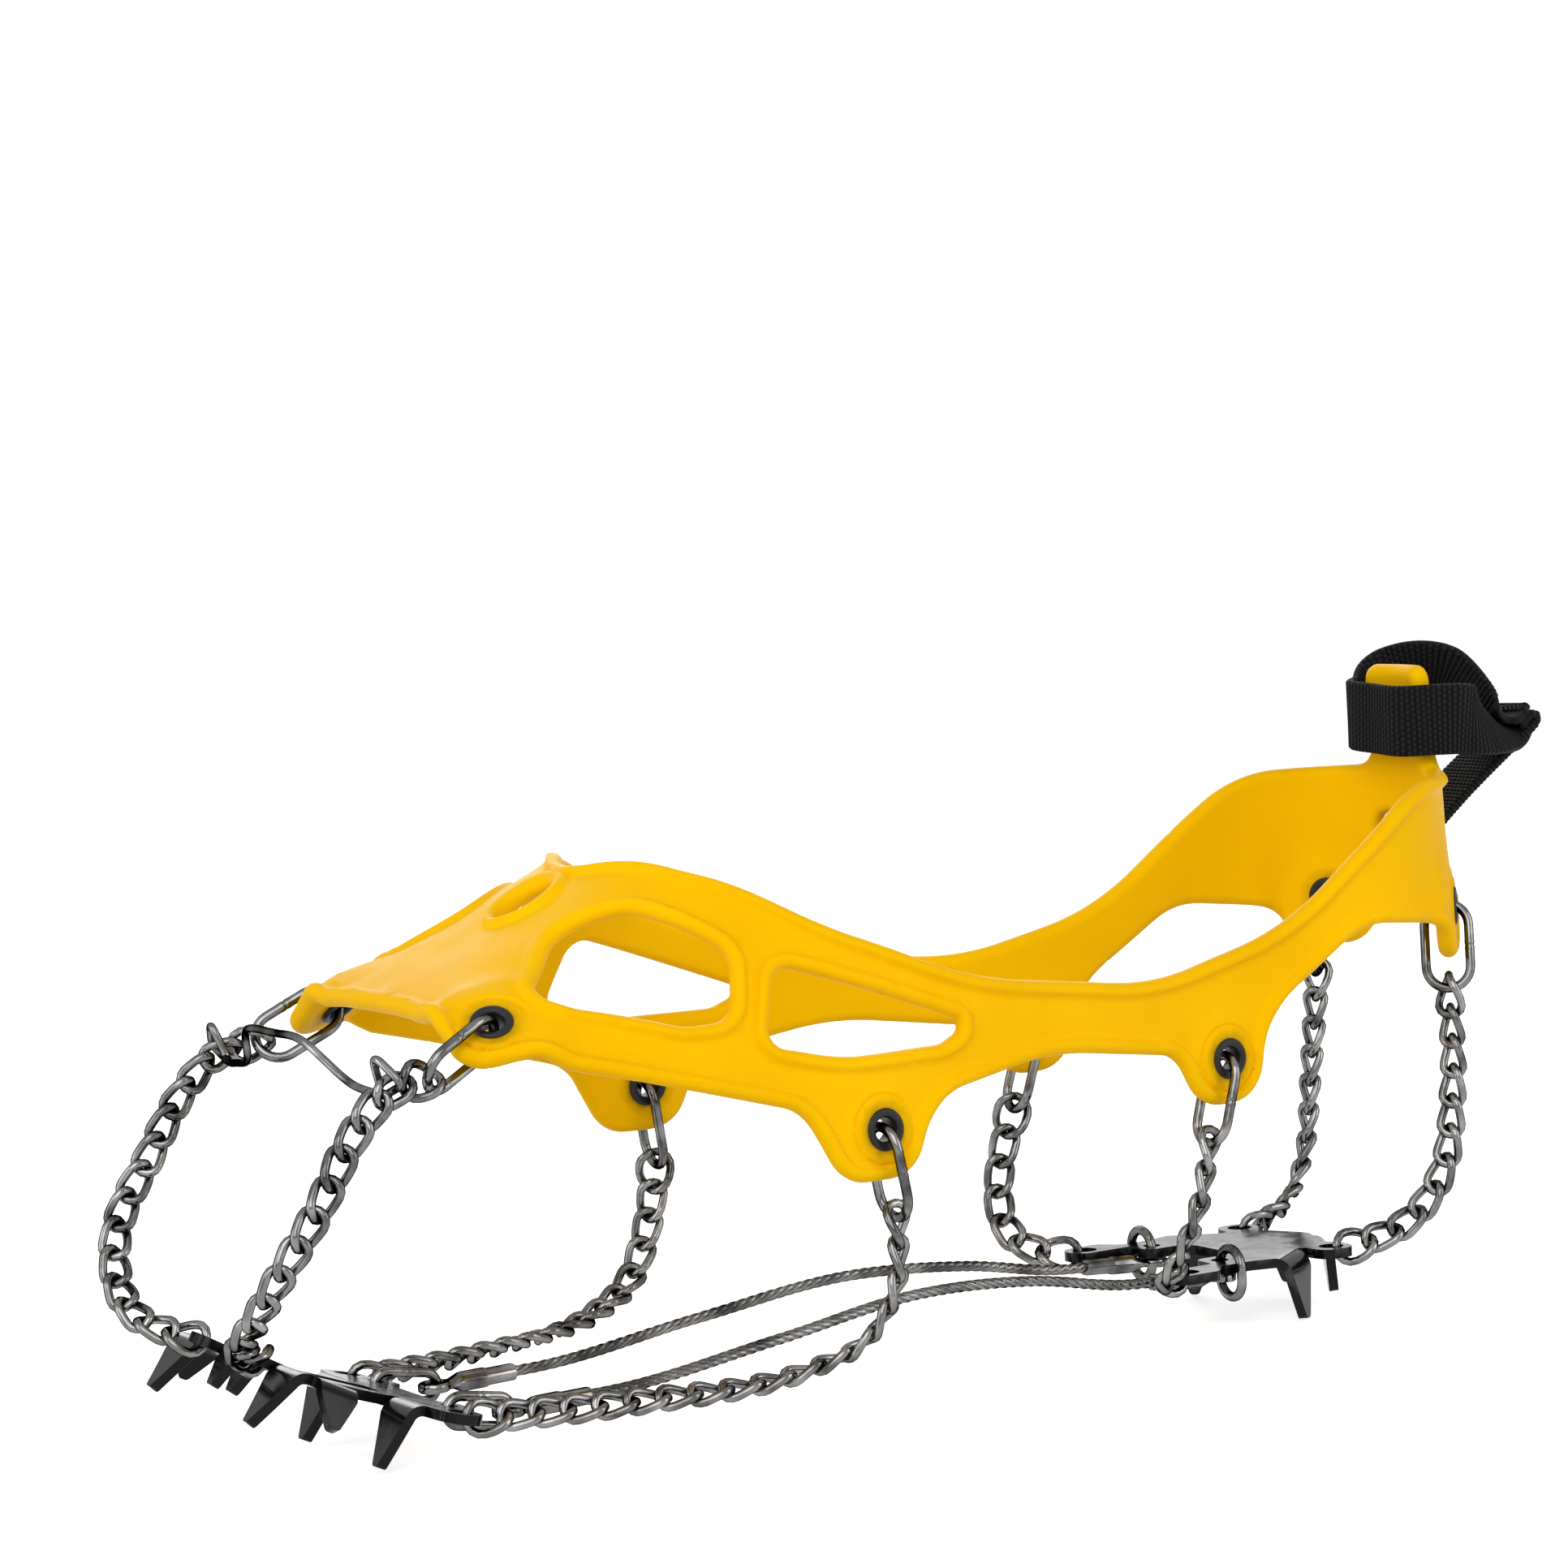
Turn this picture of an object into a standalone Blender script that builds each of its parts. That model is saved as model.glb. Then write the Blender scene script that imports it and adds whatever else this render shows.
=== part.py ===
"""Microspikes: an elastomer harness with eyelets, oblong rings, twisted-link chains, two spiked plates,
a toe bail, two wire-rope cables and a webbing pull strap, as they sit when worn and standing on the spikes.

Frame: +X towards the toe, +Y to the left, +Z up. Sizes are in millimetres until a mesh is made."""

import math

import bmesh
import bpy
import numpy as np
from mathutils.geometry import delaunay_2d_cdt

# Units and clearances
MM = 0.001
seat_gap = 0.3
ring_gap = 0.8
ear_gap = 0.5
weld_gap = 0.24
trim_gap = 0.05

# Form that the harness is moulded over: station, half width, crown height over the base, roundness
form_base_z = 40.0
form_stations = (
    (-113.0, 35.0, 200.0, 2.6),
    (-75.0, 36.5, 150.0, 2.5),
    (-30.0, 43.0, 112.0, 2.4),
    (13.0, 48.5, 86.0, 2.4),
    (52.0, 50.0, 66.5, 2.5),
    (70.0, 49.5, 57.0, 2.8),
    (89.0, 47.0, 48.5, 3.4),
    (112.0, 42.0, 38.0, 3.6),
)
form_heel_depth = 39.5

# Harness: run is the station along the side and on round the heel, girth is the way up the form
panel_thickness = 2.8
rim_height = 1.3
rim_width = 3.0
mesh_step = 10.0
edge_step = 6.0
front_edge_run = 95.7
instep_edge_run = 51.0
tab_half_width = 10.5
tab_flare = 1.0
tab_top_girth = 91.5
heel_arch_girth = 43.0
heel_slot_low = 50.0
heel_slot_height = 9.5
heel_slot_half_width = 10.0
instep_slot_front = 67.0
instep_slot_rear = 56.0
instep_slot_half_width = 5.0

# Eyelets as run and girth of their centres
eyelets = {
    "front": (87.0, 46.6),
    "mid": (12.7, 16.1),
    "heel": (-75.0, 18.6),
    "rear": (-147.5, 41.5),
}
boss_radius = 7.0
boss_height = 0.7
tab_flat_radius = 10.5
tab_flat_blend = 6.0
grommet_hole_radius = 2.3
grommet_barrel_radius = 2.9
grommet_flange_radius = 4.1
grommet_flange_thickness = 0.6

# Oblong rings
ring_length = 20.0
ring_width = 11.4
ring_wire = 2.2

# Twisted chain
chain_wire = 1.8
chain_pitch = 6.2
link_width = 6.6
link_twist = math.radians(72.0)
end_link_scale = 1.5

# Steel plates
plate_thickness = 2.0
bend_radius = 2.6
spike_length = 12.6
spike_base = 11.0
spike_tip = 2.6
small_spike_length = 7.6
small_spike_base = 6.4
side_spike_length = 9.0
side_spike_base = 8.0
ear_hole_radius = 2.6
link_hole_radius = 1.85
hole_sides = 10
arc_step = 2.0

# Front plate: its rear end, its slope there and the radius that it rolls up with towards the toe
front_plate_x = 88.0
front_plate_z = 8.6
front_plate_slope = math.radians(11.0)
front_plate_roll_radius = 125.0
front_bar_run = 3.0
front_wing_run = 29.5
front_edge_line = 39.0
front_wing_half_width = 29.5
front_rail_half_width = 10.2
front_window_half_width = 5.2
toe_ear_half_width = 4.2
front_row_gaps = (1.2, 0.6, 0.5, 1.4)
rear_wing_run = 11.5
rear_wing_half_width = 22.4

# Heel plate
heel_plate_x = -119.0
heel_plate_z = 12.2
heel_arm_end = 48.5
heel_arm_inner = 15.0
heel_arm_outer = 22.6
heel_waist_inner = 8.4
heel_waist_outer = 18.4
heel_waist_run = 31.6
heel_waist_half_length = 3.6
heel_bay_run = 25.0

# Cables, terminals and cable links
cable_offset = 16.0
heel_cable_offset = 12.4
cable_diameter = 2.0
terminal_diameter = 4.0
terminal_length = 12.0
terminal_eye_length = 8.6
terminal_eye_thickness = 1.8
terminal_eye_width = 6.4
cable_link_wire = 2.0
cable_link_length = 15.6
cable_link_width = 7.6
heel_link_height = 12.0
heel_link_width = 9.6

# Toe bail
bail_wire = 1.6
bail_eye_base = 9.2
bail_eye_height = 8.0
bail_eye_gap = 3.2
bail_bend = 1.2
bail_shift = 0.1
bail_crown = (115.0, 82.0)

# Pull strap
strap_width = 15.0
strap_thickness = 1.8
strap_slack = 1.1
strap_inner_slack = 4.6
strap_slot_lift = 1.0
strap_neck_girth = 80.0
strap_step = 5.0

materials = {
    "harness_elastomer": ((0.95, 0.53, 0.0), 0.45, 0.0),
    "grommet_black": ((0.03, 0.03, 0.03), 0.5, 0.0),
    "bright_steel": ((0.62, 0.62, 0.61), 0.25, 1.0),
    "black_steel": ((0.02, 0.02, 0.02), 0.2, 0.6),
    "webbing_black": ((0.015, 0.015, 0.015), 0.85, 0.0),
}


def clear_scene():
    for obj in list(bpy.data.objects):
        bpy.data.objects.remove(obj, do_unlink=True)


def make_material(name):
    colour, roughness, metallic = materials[name]
    material = bpy.data.materials.new(name)
    material.use_nodes = True
    shader = material.node_tree.nodes["Principled BSDF"]
    shader.inputs["Base Color"].default_value = (*colour, 1.0)
    shader.inputs["Roughness"].default_value = roughness
    shader.inputs["Metallic"].default_value = metallic
    return material


def unit(vector):
    vector = np.asarray(vector, dtype=float)
    return vector / np.linalg.norm(vector)


def rotate(vector, axis, angle):
    """Rodrigues rotation of a vector about a unit axis."""
    vector = np.asarray(vector, dtype=float)
    cross = np.cross(axis, vector)
    along = axis * np.dot(axis, vector)
    return vector * math.cos(angle) + cross * math.sin(angle) + along * (1.0 - math.cos(angle))


def smooth_value(stations, values, x):
    """Cubic Hermite curve through the given values."""
    slopes = np.gradient(values, stations)
    x = min(max(x, stations[0]), stations[-1])
    i = min(max(int(np.searchsorted(stations, x)) - 1, 0), len(stations) - 2)
    h = stations[i + 1] - stations[i]
    t = (x - stations[i]) / h
    return ((2 * t**3 - 3 * t**2 + 1) * values[i] + (t**3 - 2 * t**2 + t) * h * slopes[i]
            + (3 * t**2 - 2 * t**3) * values[i + 1] + (t**3 - t**2) * h * slopes[i + 1])


def smooth_route(points, step):
    """Points of a smooth curve through the given points, about one step apart, with their lengths."""
    points = np.asarray(points, dtype=float)
    knots = np.concatenate([[0.0], np.cumsum(np.linalg.norm(np.diff(points, axis=0), axis=1))])
    count = max(int(knots[-1] / step), 2) + 1
    fine = np.array([[smooth_value(knots, points[:, k], s) for k in range(3)]
                     for s in np.linspace(0.0, knots[-1], count)])
    lengths = np.concatenate([[0.0], np.cumsum(np.linalg.norm(np.diff(fine, axis=0), axis=1))])
    return fine, lengths


def at_length(fine, lengths, s):
    return np.array([np.interp(s, lengths, fine[:, k]) for k in range(3)])


# Form of the harness

form_table = np.array(form_stations)
heel_centre_x = form_table[0, 0]
heel_arc = (form_table[0, 1] + form_heel_depth) / 2.0 * math.pi / 2.0
heel_back_run = heel_centre_x - heel_arc


def girth_curve(run):
    """Centre, outward direction and profile of the form's section at a run."""
    x = max(run, heel_centre_x)
    width, crown, roundness = (smooth_value(form_table[:, 0], form_table[:, k], x) for k in (1, 2, 3))
    turn = math.pi / 2.0 * min((run - heel_back_run) / heel_arc, 1.0)
    outward = np.array([-math.cos(turn) * form_heel_depth / form_table[0, 1], math.sin(turn), 0.0])
    if run >= heel_centre_x:
        outward = np.array([0.0, 1.0, 0.0])
    theta = np.linspace(0.0, math.pi / 2.0, 120)
    reach = width * np.cos(theta) ** (2.0 / roundness)
    height = crown * np.sin(theta) ** (2.0 / roundness)
    reach[-1] = 0.0
    lengths = np.concatenate([[0.0], np.cumsum(np.hypot(np.diff(reach), np.diff(height)))])
    return np.array([x, 0.0, form_base_z]), outward, reach, height, lengths


def form_point(run, girth):
    centre, outward, reach, height, lengths = girth_curve(run)
    point = centre + outward * np.interp(girth, lengths, reach)
    point[2] += np.interp(girth, lengths, height)
    return point


def crown_girth(run):
    return girth_curve(run)[4][-1]


def form_normal(run, girth):
    reach = 0.6
    top = crown_girth(run)
    low, high = max(girth - reach, 0.0), min(girth + reach, top)
    along = form_point(run + reach, girth) - form_point(run - reach, girth)
    if girth + reach >= top and run > instep_edge_run - reach:
        along = form_point(run + reach, crown_girth(run + reach)) - form_point(run - reach, crown_girth(run - reach))
        return unit(np.cross((0.0, -1.0, 0.0), along))
    if run <= heel_back_run + reach:
        along = np.array([0.0, 1.0, 0.0])
    up = form_point(run, high) - form_point(run, low)
    return unit(np.cross(up, along))


# Outlines in a plane

def rounded_outline(corners, step):
    """Points of an open polyline of (a, b, radius) corners, with each corner rounded by an arc."""
    points = [np.array(c[:2], dtype=float) for c in corners]
    result = [points[0]]
    for i in range(1, len(corners) - 1):
        radius = corners[i][2]
        back, ahead = points[i - 1] - points[i], points[i + 1] - points[i]
        if radius <= 0.0:
            result.append(points[i])
            continue
        half = math.acos(np.clip(np.dot(unit(back), unit(ahead)), -1.0, 1.0)) / 2.0
        reach = min(radius / math.tan(half), 0.49 * np.linalg.norm(back), 0.49 * np.linalg.norm(ahead))
        radius = reach * math.tan(half)
        centre = points[i] + unit(unit(back) + unit(ahead)) * radius / math.sin(half)
        start, end = points[i] + unit(back) * reach, points[i] + unit(ahead) * reach
        first = math.atan2(*(start - centre)[::-1])
        sweep = math.atan2(*(end - centre)[::-1]) - first
        sweep = (sweep + math.pi) % (2.0 * math.pi) - math.pi
        steps = max(int(abs(sweep) * radius / step + 0.5), 2)
        for k in range(steps + 1):
            angle = first + sweep * k / steps
            result.append(centre + radius * np.array([math.cos(angle), math.sin(angle)]))
    result.append(points[-1])
    return result


def closed_outline(corners, step):
    """A rounded outline that closes on itself, started in the middle of its first side."""
    middle = tuple((a + b) / 2.0 for a, b in zip(corners[-1][:2], corners[0][:2]))
    return rounded_outline([(*middle, 0.0), *corners, (*middle, 0.0)], step)[:-1]


def resampled(points, step, closed):
    """The same polyline with no side longer than a step."""
    result = []
    count = len(points) if closed else len(points) - 1
    for i in range(count):
        a, b = points[i], points[(i + 1) % len(points)]
        pieces = max(int(math.ceil(np.linalg.norm(b - a) / step - 0.2)), 1)
        result += [a + (b - a) * k / pieces for k in range(pieces)]
    if not closed:
        result.append(points[-1])
    return result


def inside(point, loop):
    a = np.asarray(loop)
    b = np.roll(a, -1, axis=0)
    crosses = (a[:, 1] > point[1]) != (b[:, 1] > point[1])
    with np.errstate(divide="ignore", invalid="ignore"):
        at = a[:, 0] + (point[1] - a[:, 1]) * (b[:, 0] - a[:, 0]) / (b[:, 1] - a[:, 1])
    return bool(np.count_nonzero(crosses & (point[0] < at)) % 2)


def distance_to_loops(point, loops):
    best = math.inf
    for loop in loops:
        a = np.asarray(loop)
        d = np.roll(a, -1, axis=0) - a
        t = np.clip(np.sum((point - a) * d, axis=1) / np.maximum(np.sum(d * d, axis=1), 1e-9), 0.0, 1.0)
        best = min(best, float(np.min(np.linalg.norm(a + d * t[:, None] - point, axis=1))))
    return best


def triangulate(loops, free_points):
    """Triangles of the region inside the first loop and outside the others."""
    points = []
    edges = []
    for loop in loops:
        start = len(points)
        points += list(loop)
        edges += [(start + i, start + (i + 1) % len(loop)) for i in range(len(loop))]
    points += list(free_points)
    verts, _, faces, _, _, _ = delaunay_2d_cdt([tuple(p) for p in points], edges, [], 0, 1e-4)
    verts = [np.array(v) for v in verts]
    kept = []
    for face in faces:
        middle = sum(verts[i] for i in face) / len(face)
        if inside(middle, loops[0]) and not any(inside(middle, hole) for hole in loops[1:]):
            kept.append(tuple(face))
    return verts, kept


# Meshes

def new_object(name, verts, faces, material, origin=(0.0, 0.0, 0.0)):
    """An object of millimetre points, with its origin at the given point."""
    origin = np.asarray(origin, dtype=float)
    mesh = bpy.data.meshes.new(name)
    mesh.from_pydata([tuple((np.asarray(v) - origin) * MM) for v in verts], [], faces)
    mesh.update()
    shape = bmesh.new()
    shape.from_mesh(mesh)
    bmesh.ops.recalc_face_normals(shape, faces=shape.faces)
    if shape.calc_volume(signed=True) < 0.0:
        bmesh.ops.reverse_faces(shape, faces=shape.faces)
    shape.to_mesh(mesh)
    shape.free()
    mesh.shade_smooth()
    mesh.set_sharp_from_angle(angle=math.radians(40.0))
    mesh.materials.append(materials_made[material])
    obj = bpy.data.objects.new(name, mesh)
    obj.location = tuple(origin * MM)
    bpy.context.scene.collection.objects.link(obj)
    obj.parent = root
    return obj


def loft(rings, closed):
    """Faces between rings of points, with flat caps on an open loft."""
    verts = [p for ring in rings for p in ring]
    size = len(rings[0])
    faces = []
    for i in range(len(rings) if closed else len(rings) - 1):
        a, b = i * size, (i + 1) % len(rings) * size
        for k in range(size):
            n = (k + 1) % size
            faces.append((a + k, a + n, b + n, b + k))
    if not closed:
        faces.append(tuple(range(size))[::-1])
        faces.append(tuple(range(len(verts) - size, len(verts))))
    return verts, faces


def wire(points, diameter, sides, closed, centre=None, normal=(0.0, 0.0, 1.0)):
    """A round wire along points. A closed wire takes its section from a centre, an open one carries it along."""
    points = [np.asarray(p, dtype=float) for p in points]
    count = len(points)
    rings = []
    carried = np.asarray(normal, dtype=float)
    for i, point in enumerate(points):
        before = points[i - 1] if closed or i > 0 else point
        after = points[(i + 1) % count] if closed or i < count - 1 else point
        into, out = point - before, after - point
        if not closed and i == 0:
            into = out
        if not closed and i == count - 1:
            out = into
        along = unit(unit(into) + unit(out))
        stretch = 1.0 / max(np.dot(along, unit(out)), 0.5)
        away = point - centre if centre is not None else carried
        side = unit(away - along * np.dot(away, along))
        carried = side
        across = np.cross(along, side)
        bend = unit(out) - unit(into)
        bend = unit(bend) if np.linalg.norm(bend) > 1e-6 else side
        ring = []
        for k in range(sides):
            angle = 2.0 * math.pi * (k + 0.5) / sides
            offset = (side * math.cos(angle) + across * math.sin(angle)) * diameter / 2.0
            ring.append(point + offset + bend * np.dot(offset, bend) * (stretch - 1.0))
        rings.append(ring)
    return loft(rings, closed)


def oblong(length, width, arc_steps):
    """Centre line of an oblong link, long side along the first axis."""
    radius = width / 2.0
    straight = length / 2.0 - radius
    points = []
    for k in range(arc_steps + 1):
        angle = -math.pi / 2.0 + math.pi * k / arc_steps
        points.append((straight + radius * math.cos(angle), radius * math.sin(angle)))
    return points + [(-a, -b) for a, b in points]


# Harness

def harness_outline():
    """Outer outline of the left half, from the front edge on the mid-plane round to the mid-plane again."""
    tab_run = heel_back_run + tab_half_width
    low = [
        (front_edge_run, crown_girth(front_edge_run), 0.0),
        (front_edge_run, 37.0, 9.0),
        (84.0, 37.6, 6.0),
        (61.0, 30.8, 60.0),
        (30.0, 21.6, 10.0),
        (22.0, 6.6, 8.5),
        (6.0, 6.4, 8.5),
        (0.0, 20.5, 14.0),
        (-30.0, 25.4, 60.0),
        (-62.5, 20.6, 8.0),
        (-68.0, 9.4, 8.5),
        (-83.0, 9.4, 8.5),
        (-86.0, 26.0, 22.0),
        (-112.0, 42.0, 18.0),
        (-134.0, 39.5, 9.0),
        (-139.5, 31.0, 8.5),
        (-156.5, 31.0, 8.5),
        (-160.0, heel_arch_girth, 8.0),
        (heel_back_run, heel_arch_girth, 0.0),
    ]
    slot_top = heel_slot_low + heel_slot_height
    heel = [
        (heel_back_run, heel_slot_low, 0.0),
        (heel_back_run + heel_slot_half_width, heel_slot_low, 2.5),
        (heel_back_run + heel_slot_half_width, slot_top, 2.5),
        (heel_back_run, slot_top, 0.0),
    ]
    top = [
        (heel_back_run, tab_top_girth, 0.0),
        (tab_run + tab_flare, tab_top_girth, 3.5),
        (tab_run, tab_top_girth - 9.0, 8.0),
        (tab_run, 70.0, 5.0),
        (-128.0, 69.0, 30.0),
        (-92.0, 43.0, 60.0),
        (-58.0, 35.5, 60.0),
        (-12.0, 42.0, 90.0),
        (21.0, 57.0, 60.0),
        (40.0, 74.0, 22.0),
        (instep_edge_run - 1.0, crown_girth(instep_edge_run) - 6.0, 5.0),
        (instep_edge_run, crown_girth(instep_edge_run), 0.0),
    ]
    slot = []
    steps = 8
    for k in range(steps + 1):
        angle = math.pi * k / steps
        run = (instep_slot_front + instep_slot_rear) / 2.0
        run -= (instep_slot_front - instep_slot_rear) / 2.0 * math.cos(angle)
        slot.append(np.array([run, crown_girth(run) - instep_slot_half_width * math.sin(angle)]))
    crown = [np.array([run, crown_girth(run)]) for run in np.arange(instep_slot_front + edge_step, front_edge_run - 2.0,
                                                                    edge_step)]
    outline = []
    for piece in (low, heel, top):
        outline += resampled(rounded_outline(piece, edge_step * 0.7), edge_step, False)
    outline += slot + crown
    return outline


def window_corners():
    big = [
        (79.0, 50.0, 5.0),
        (65.0, 71.0, 9.0),
        (53.5, 69.5, 9.0),
        (38.6, 53.5, 6.0),
        (42.0, 40.4, 5.0),
        (52.0, 40.4, 12.0),
    ]
    small = [
        (30.8, 50.2, 4.0),
        (-10.5, 33.6, 2.6),
        (-3.0, 30.4, 6.0),
        (20.0, 30.6, 40.0),
        (36.0, 34.8, 6.0),
    ]
    return big, small


def eyelet_frame(station):
    """Centre on the form, outward normal and direction down the girth of a left eyelet."""
    run, girth = eyelets[station]
    normal = form_normal(run, girth)
    down = form_point(run, girth - 1.0) - form_point(run, girth + 1.0)
    down = unit(down - normal * np.dot(down, normal))
    return form_point(run, girth), normal, down


def eyelet_circle(station, radius):
    """Points in run and girth that lie on a circle round an eyelet in space."""
    run, girth = eyelets[station]
    centre, normal, down = eyelet_frame(station)
    ahead = np.cross(down, normal)
    step = 1.0
    slopes = np.array([
        (form_point(run + step, girth) - form_point(run - step, girth)) / (2.0 * step),
        (form_point(run, girth + step) - form_point(run, girth - step)) / (2.0 * step),
    ])
    plane = np.array([ahead, down])
    solve = np.linalg.inv((slopes @ plane.T).T)
    angles = 2.0 * math.pi * np.arange(hole_sides) / hole_sides
    return [np.array([run, girth]) + solve @ (radius * np.array([math.cos(a), math.sin(a)])) for a in angles]


def harness_point(run, girth, rise):
    """A point over the form, with the form flattened under each eyelet's boss."""
    point = form_point(run, girth)
    normal = form_normal(run, girth)
    for station in eyelets:
        centre, axis, _ = eyelet_frame(station)
        away = np.linalg.norm(point - centre)
        if away < tab_flat_radius + tab_flat_blend:
            flat = min(max((tab_flat_radius + tab_flat_blend - away) / tab_flat_blend, 0.0), 1.0)
            flat = flat * flat * (3.0 - 2.0 * flat)
            point = point - axis * np.dot(point - centre, axis) * flat
            normal = unit(normal * (1.0 - flat) + axis * flat)
    return point + normal * rise


def make_harness():
    outline = harness_outline()
    loops = [outline]
    for corners in window_corners():
        loops.append(resampled(closed_outline(corners, edge_step * 0.7), edge_step, True))
    hole_radius = (grommet_barrel_radius + seat_gap) / math.cos(math.pi / hole_sides)
    centres = [np.array(spot) for spot in eyelets.values()]
    for station in eyelets:
        loops.append(eyelet_circle(station, hole_radius))
    edge_count = sum(len(loop) for loop in loops[:3])
    rims = loops[:3]
    free = []
    for loop in rims:
        for i, point in enumerate(loop):
            along = loop[(i + 1) % len(loop)] - loop[i - 1]
            for side in (1.0, -1.0):
                shifted = point + side * rim_width * unit((-along[1], along[0]))
                free.append(shifted)
    for station in eyelets:
        free += eyelet_circle(station, boss_radius)
    for j, girth in enumerate(np.arange(8.0, 100.0, mesh_step * 0.87)):
        free += [np.array([run + mesh_step / 2.0 * (j % 2), girth])
                 for run in np.arange(heel_back_run, front_edge_run, mesh_step)]
    kept = []
    for point in free:
        if not inside(point, outline) or point[1] > crown_girth(point[0]) - 1.0:
            continue
        if point[0] < heel_back_run + 1.0 or any(inside(point, hole) for hole in loops[1:]):
            continue
        if distance_to_loops(point, loops) < rim_width * 0.8:
            continue
        if all(np.linalg.norm(point - other) > rim_width * 0.8 for other in kept):
            kept.append(point)
    flat, triangles = triangulate(loops, kept)
    outer = []
    inner = []
    middle = set()
    for i, (run, girth) in enumerate(flat):
        away = min(np.linalg.norm(np.array([run, girth]) - c) for c in centres)
        rise = rim_height if i < edge_count else 0.0
        if away < boss_radius + rim_width:
            rise = min(rise, boss_height) if away > boss_radius + trim_gap else boss_height
        top = harness_point(run, girth, rise)
        low = harness_point(run, girth, -panel_thickness)
        if girth >= crown_girth(run) - 1e-3 or run <= heel_back_run + 1e-3:
            middle.add(i)
            top[1] = 0.0
            low[1] = 0.0
        outer.append(top)
        inner.append(low)
    count = len(flat)
    index = {}
    verts = []
    for layer, points in enumerate((outer, inner)):
        for hand in (1.0, -1.0):
            for i, point in enumerate(points):
                if hand < 0.0 and i in middle:
                    index[layer, hand, i] = index[layer, 1.0, i]
                    continue
                index[layer, hand, i] = len(verts)
                verts.append(point * (1.0, hand, 1.0))
    faces = []
    sides = {}
    for face in triangles:
        for k in range(3):
            edge = (face[k], face[(k + 1) % 3])
            sides[frozenset(edge)] = None if frozenset(edge) in sides else edge
    for hand in (1.0, -1.0):
        for face in triangles:
            ordered = face if hand > 0.0 else face[::-1]
            faces.append(tuple(index[0, hand, i] for i in ordered))
            faces.append(tuple(index[1, hand, i] for i in reversed(ordered)))
        for edge in sides.values():
            if edge is None or (edge[0] in middle and edge[1] in middle):
                continue
            a, b = edge if hand > 0.0 else edge[::-1]
            faces.append((index[0, hand, b], index[0, hand, a], index[1, hand, a], index[1, hand, b]))
    return new_object("harness", verts, faces, "harness_elastomer")


def make_grommet(name, centre, axis):
    """Revolved grommet: a barrel through the tab with a flange on each face."""
    top = boss_height + seat_gap
    low = -panel_thickness - seat_gap
    profile = [
        (grommet_hole_radius, low - grommet_flange_thickness),
        (grommet_flange_radius, low - grommet_flange_thickness),
        (grommet_flange_radius, low),
        (grommet_barrel_radius, low),
        (grommet_barrel_radius, top),
        (grommet_flange_radius, top),
        (grommet_flange_radius, top + grommet_flange_thickness),
        (grommet_hole_radius, top + grommet_flange_thickness),
    ]
    first = unit(np.cross(axis, (0.0, 0.0, 1.0)))
    second = np.cross(axis, first)
    rings = []
    for k in range(hole_sides):
        angle = 2.0 * math.pi * k / hole_sides
        out = first * math.cos(angle) + second * math.sin(angle)
        rings.append([centre + out * r + axis * h for r, h in profile])
    verts, faces = loft(rings, True)
    return new_object(name, verts, faces, "grommet_black", centre)


# Rings and chains

def ring_frame(station):
    """Pivot in the grommet, direction of pull and in-plane normal of a left ring, from the chain that pulls it."""
    centre, normal, _ = eyelet_frame(station)
    middle = centre + normal * (boss_height - panel_thickness) / 2.0
    pull = np.asarray(chain_routes[station][0], dtype=float) - middle
    pull = unit(pull - normal * np.dot(pull, normal))
    across = unit(np.cross(pull, normal))
    face = np.cross(across, pull)
    half = (panel_thickness + boss_height) / 2.0 + seat_gap + grommet_flange_thickness
    radius = (ring_width - ring_wire) / 2.0
    lean = math.asin(half / radius)
    drop = radius * (1.0 - math.cos(lean)) + ring_wire / 2.0 / math.cos(lean)
    flats = math.cos(math.pi / hole_sides)
    pivot = middle + pull * (grommet_hole_radius * flats - ear_gap - drop)
    return pivot, pull, face, across


def make_ring(name, station, hand):
    pivot, pull, face, _ = ring_frame(station)
    length, width = ring_length - ring_wire, ring_width - ring_wire
    centre = pivot + pull * length / 2.0
    points = [centre + pull * a + face * b for a, b in oblong(length, width, 5)]
    verts, faces = wire(points, ring_wire, 6, True, centre)
    verts = [v * (1.0, hand, 1.0) for v in verts]
    return new_object(name, verts, faces, "bright_steel", pivot * (1.0, hand, 1.0))


def link_points(start, end, side):
    """Centre line of a link twisted about its own axis, between the centres of its two end bows.

    The side's length scales the link's width. The start's bow is the outline's last side, and the end's bow is
    the side before its middle."""
    axis = unit(end - start)
    length = np.linalg.norm(end - start)
    radius = (link_width - chain_wire) / 2.0
    corners = [(0.0, 0.55), (0.75, 1.0)]
    outline = [(radius * a, radius * b) for a, b in corners]
    outline += [(length - a, b) for a, b in reversed(outline)]
    outline += [(a, -b) for a, b in reversed(outline)]
    points = []
    for a, b in outline:
        turn = link_twist * (0.5 - a / length)
        points.append(start + axis * a + rotate(side, axis, turn) * b)
    return points


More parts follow.
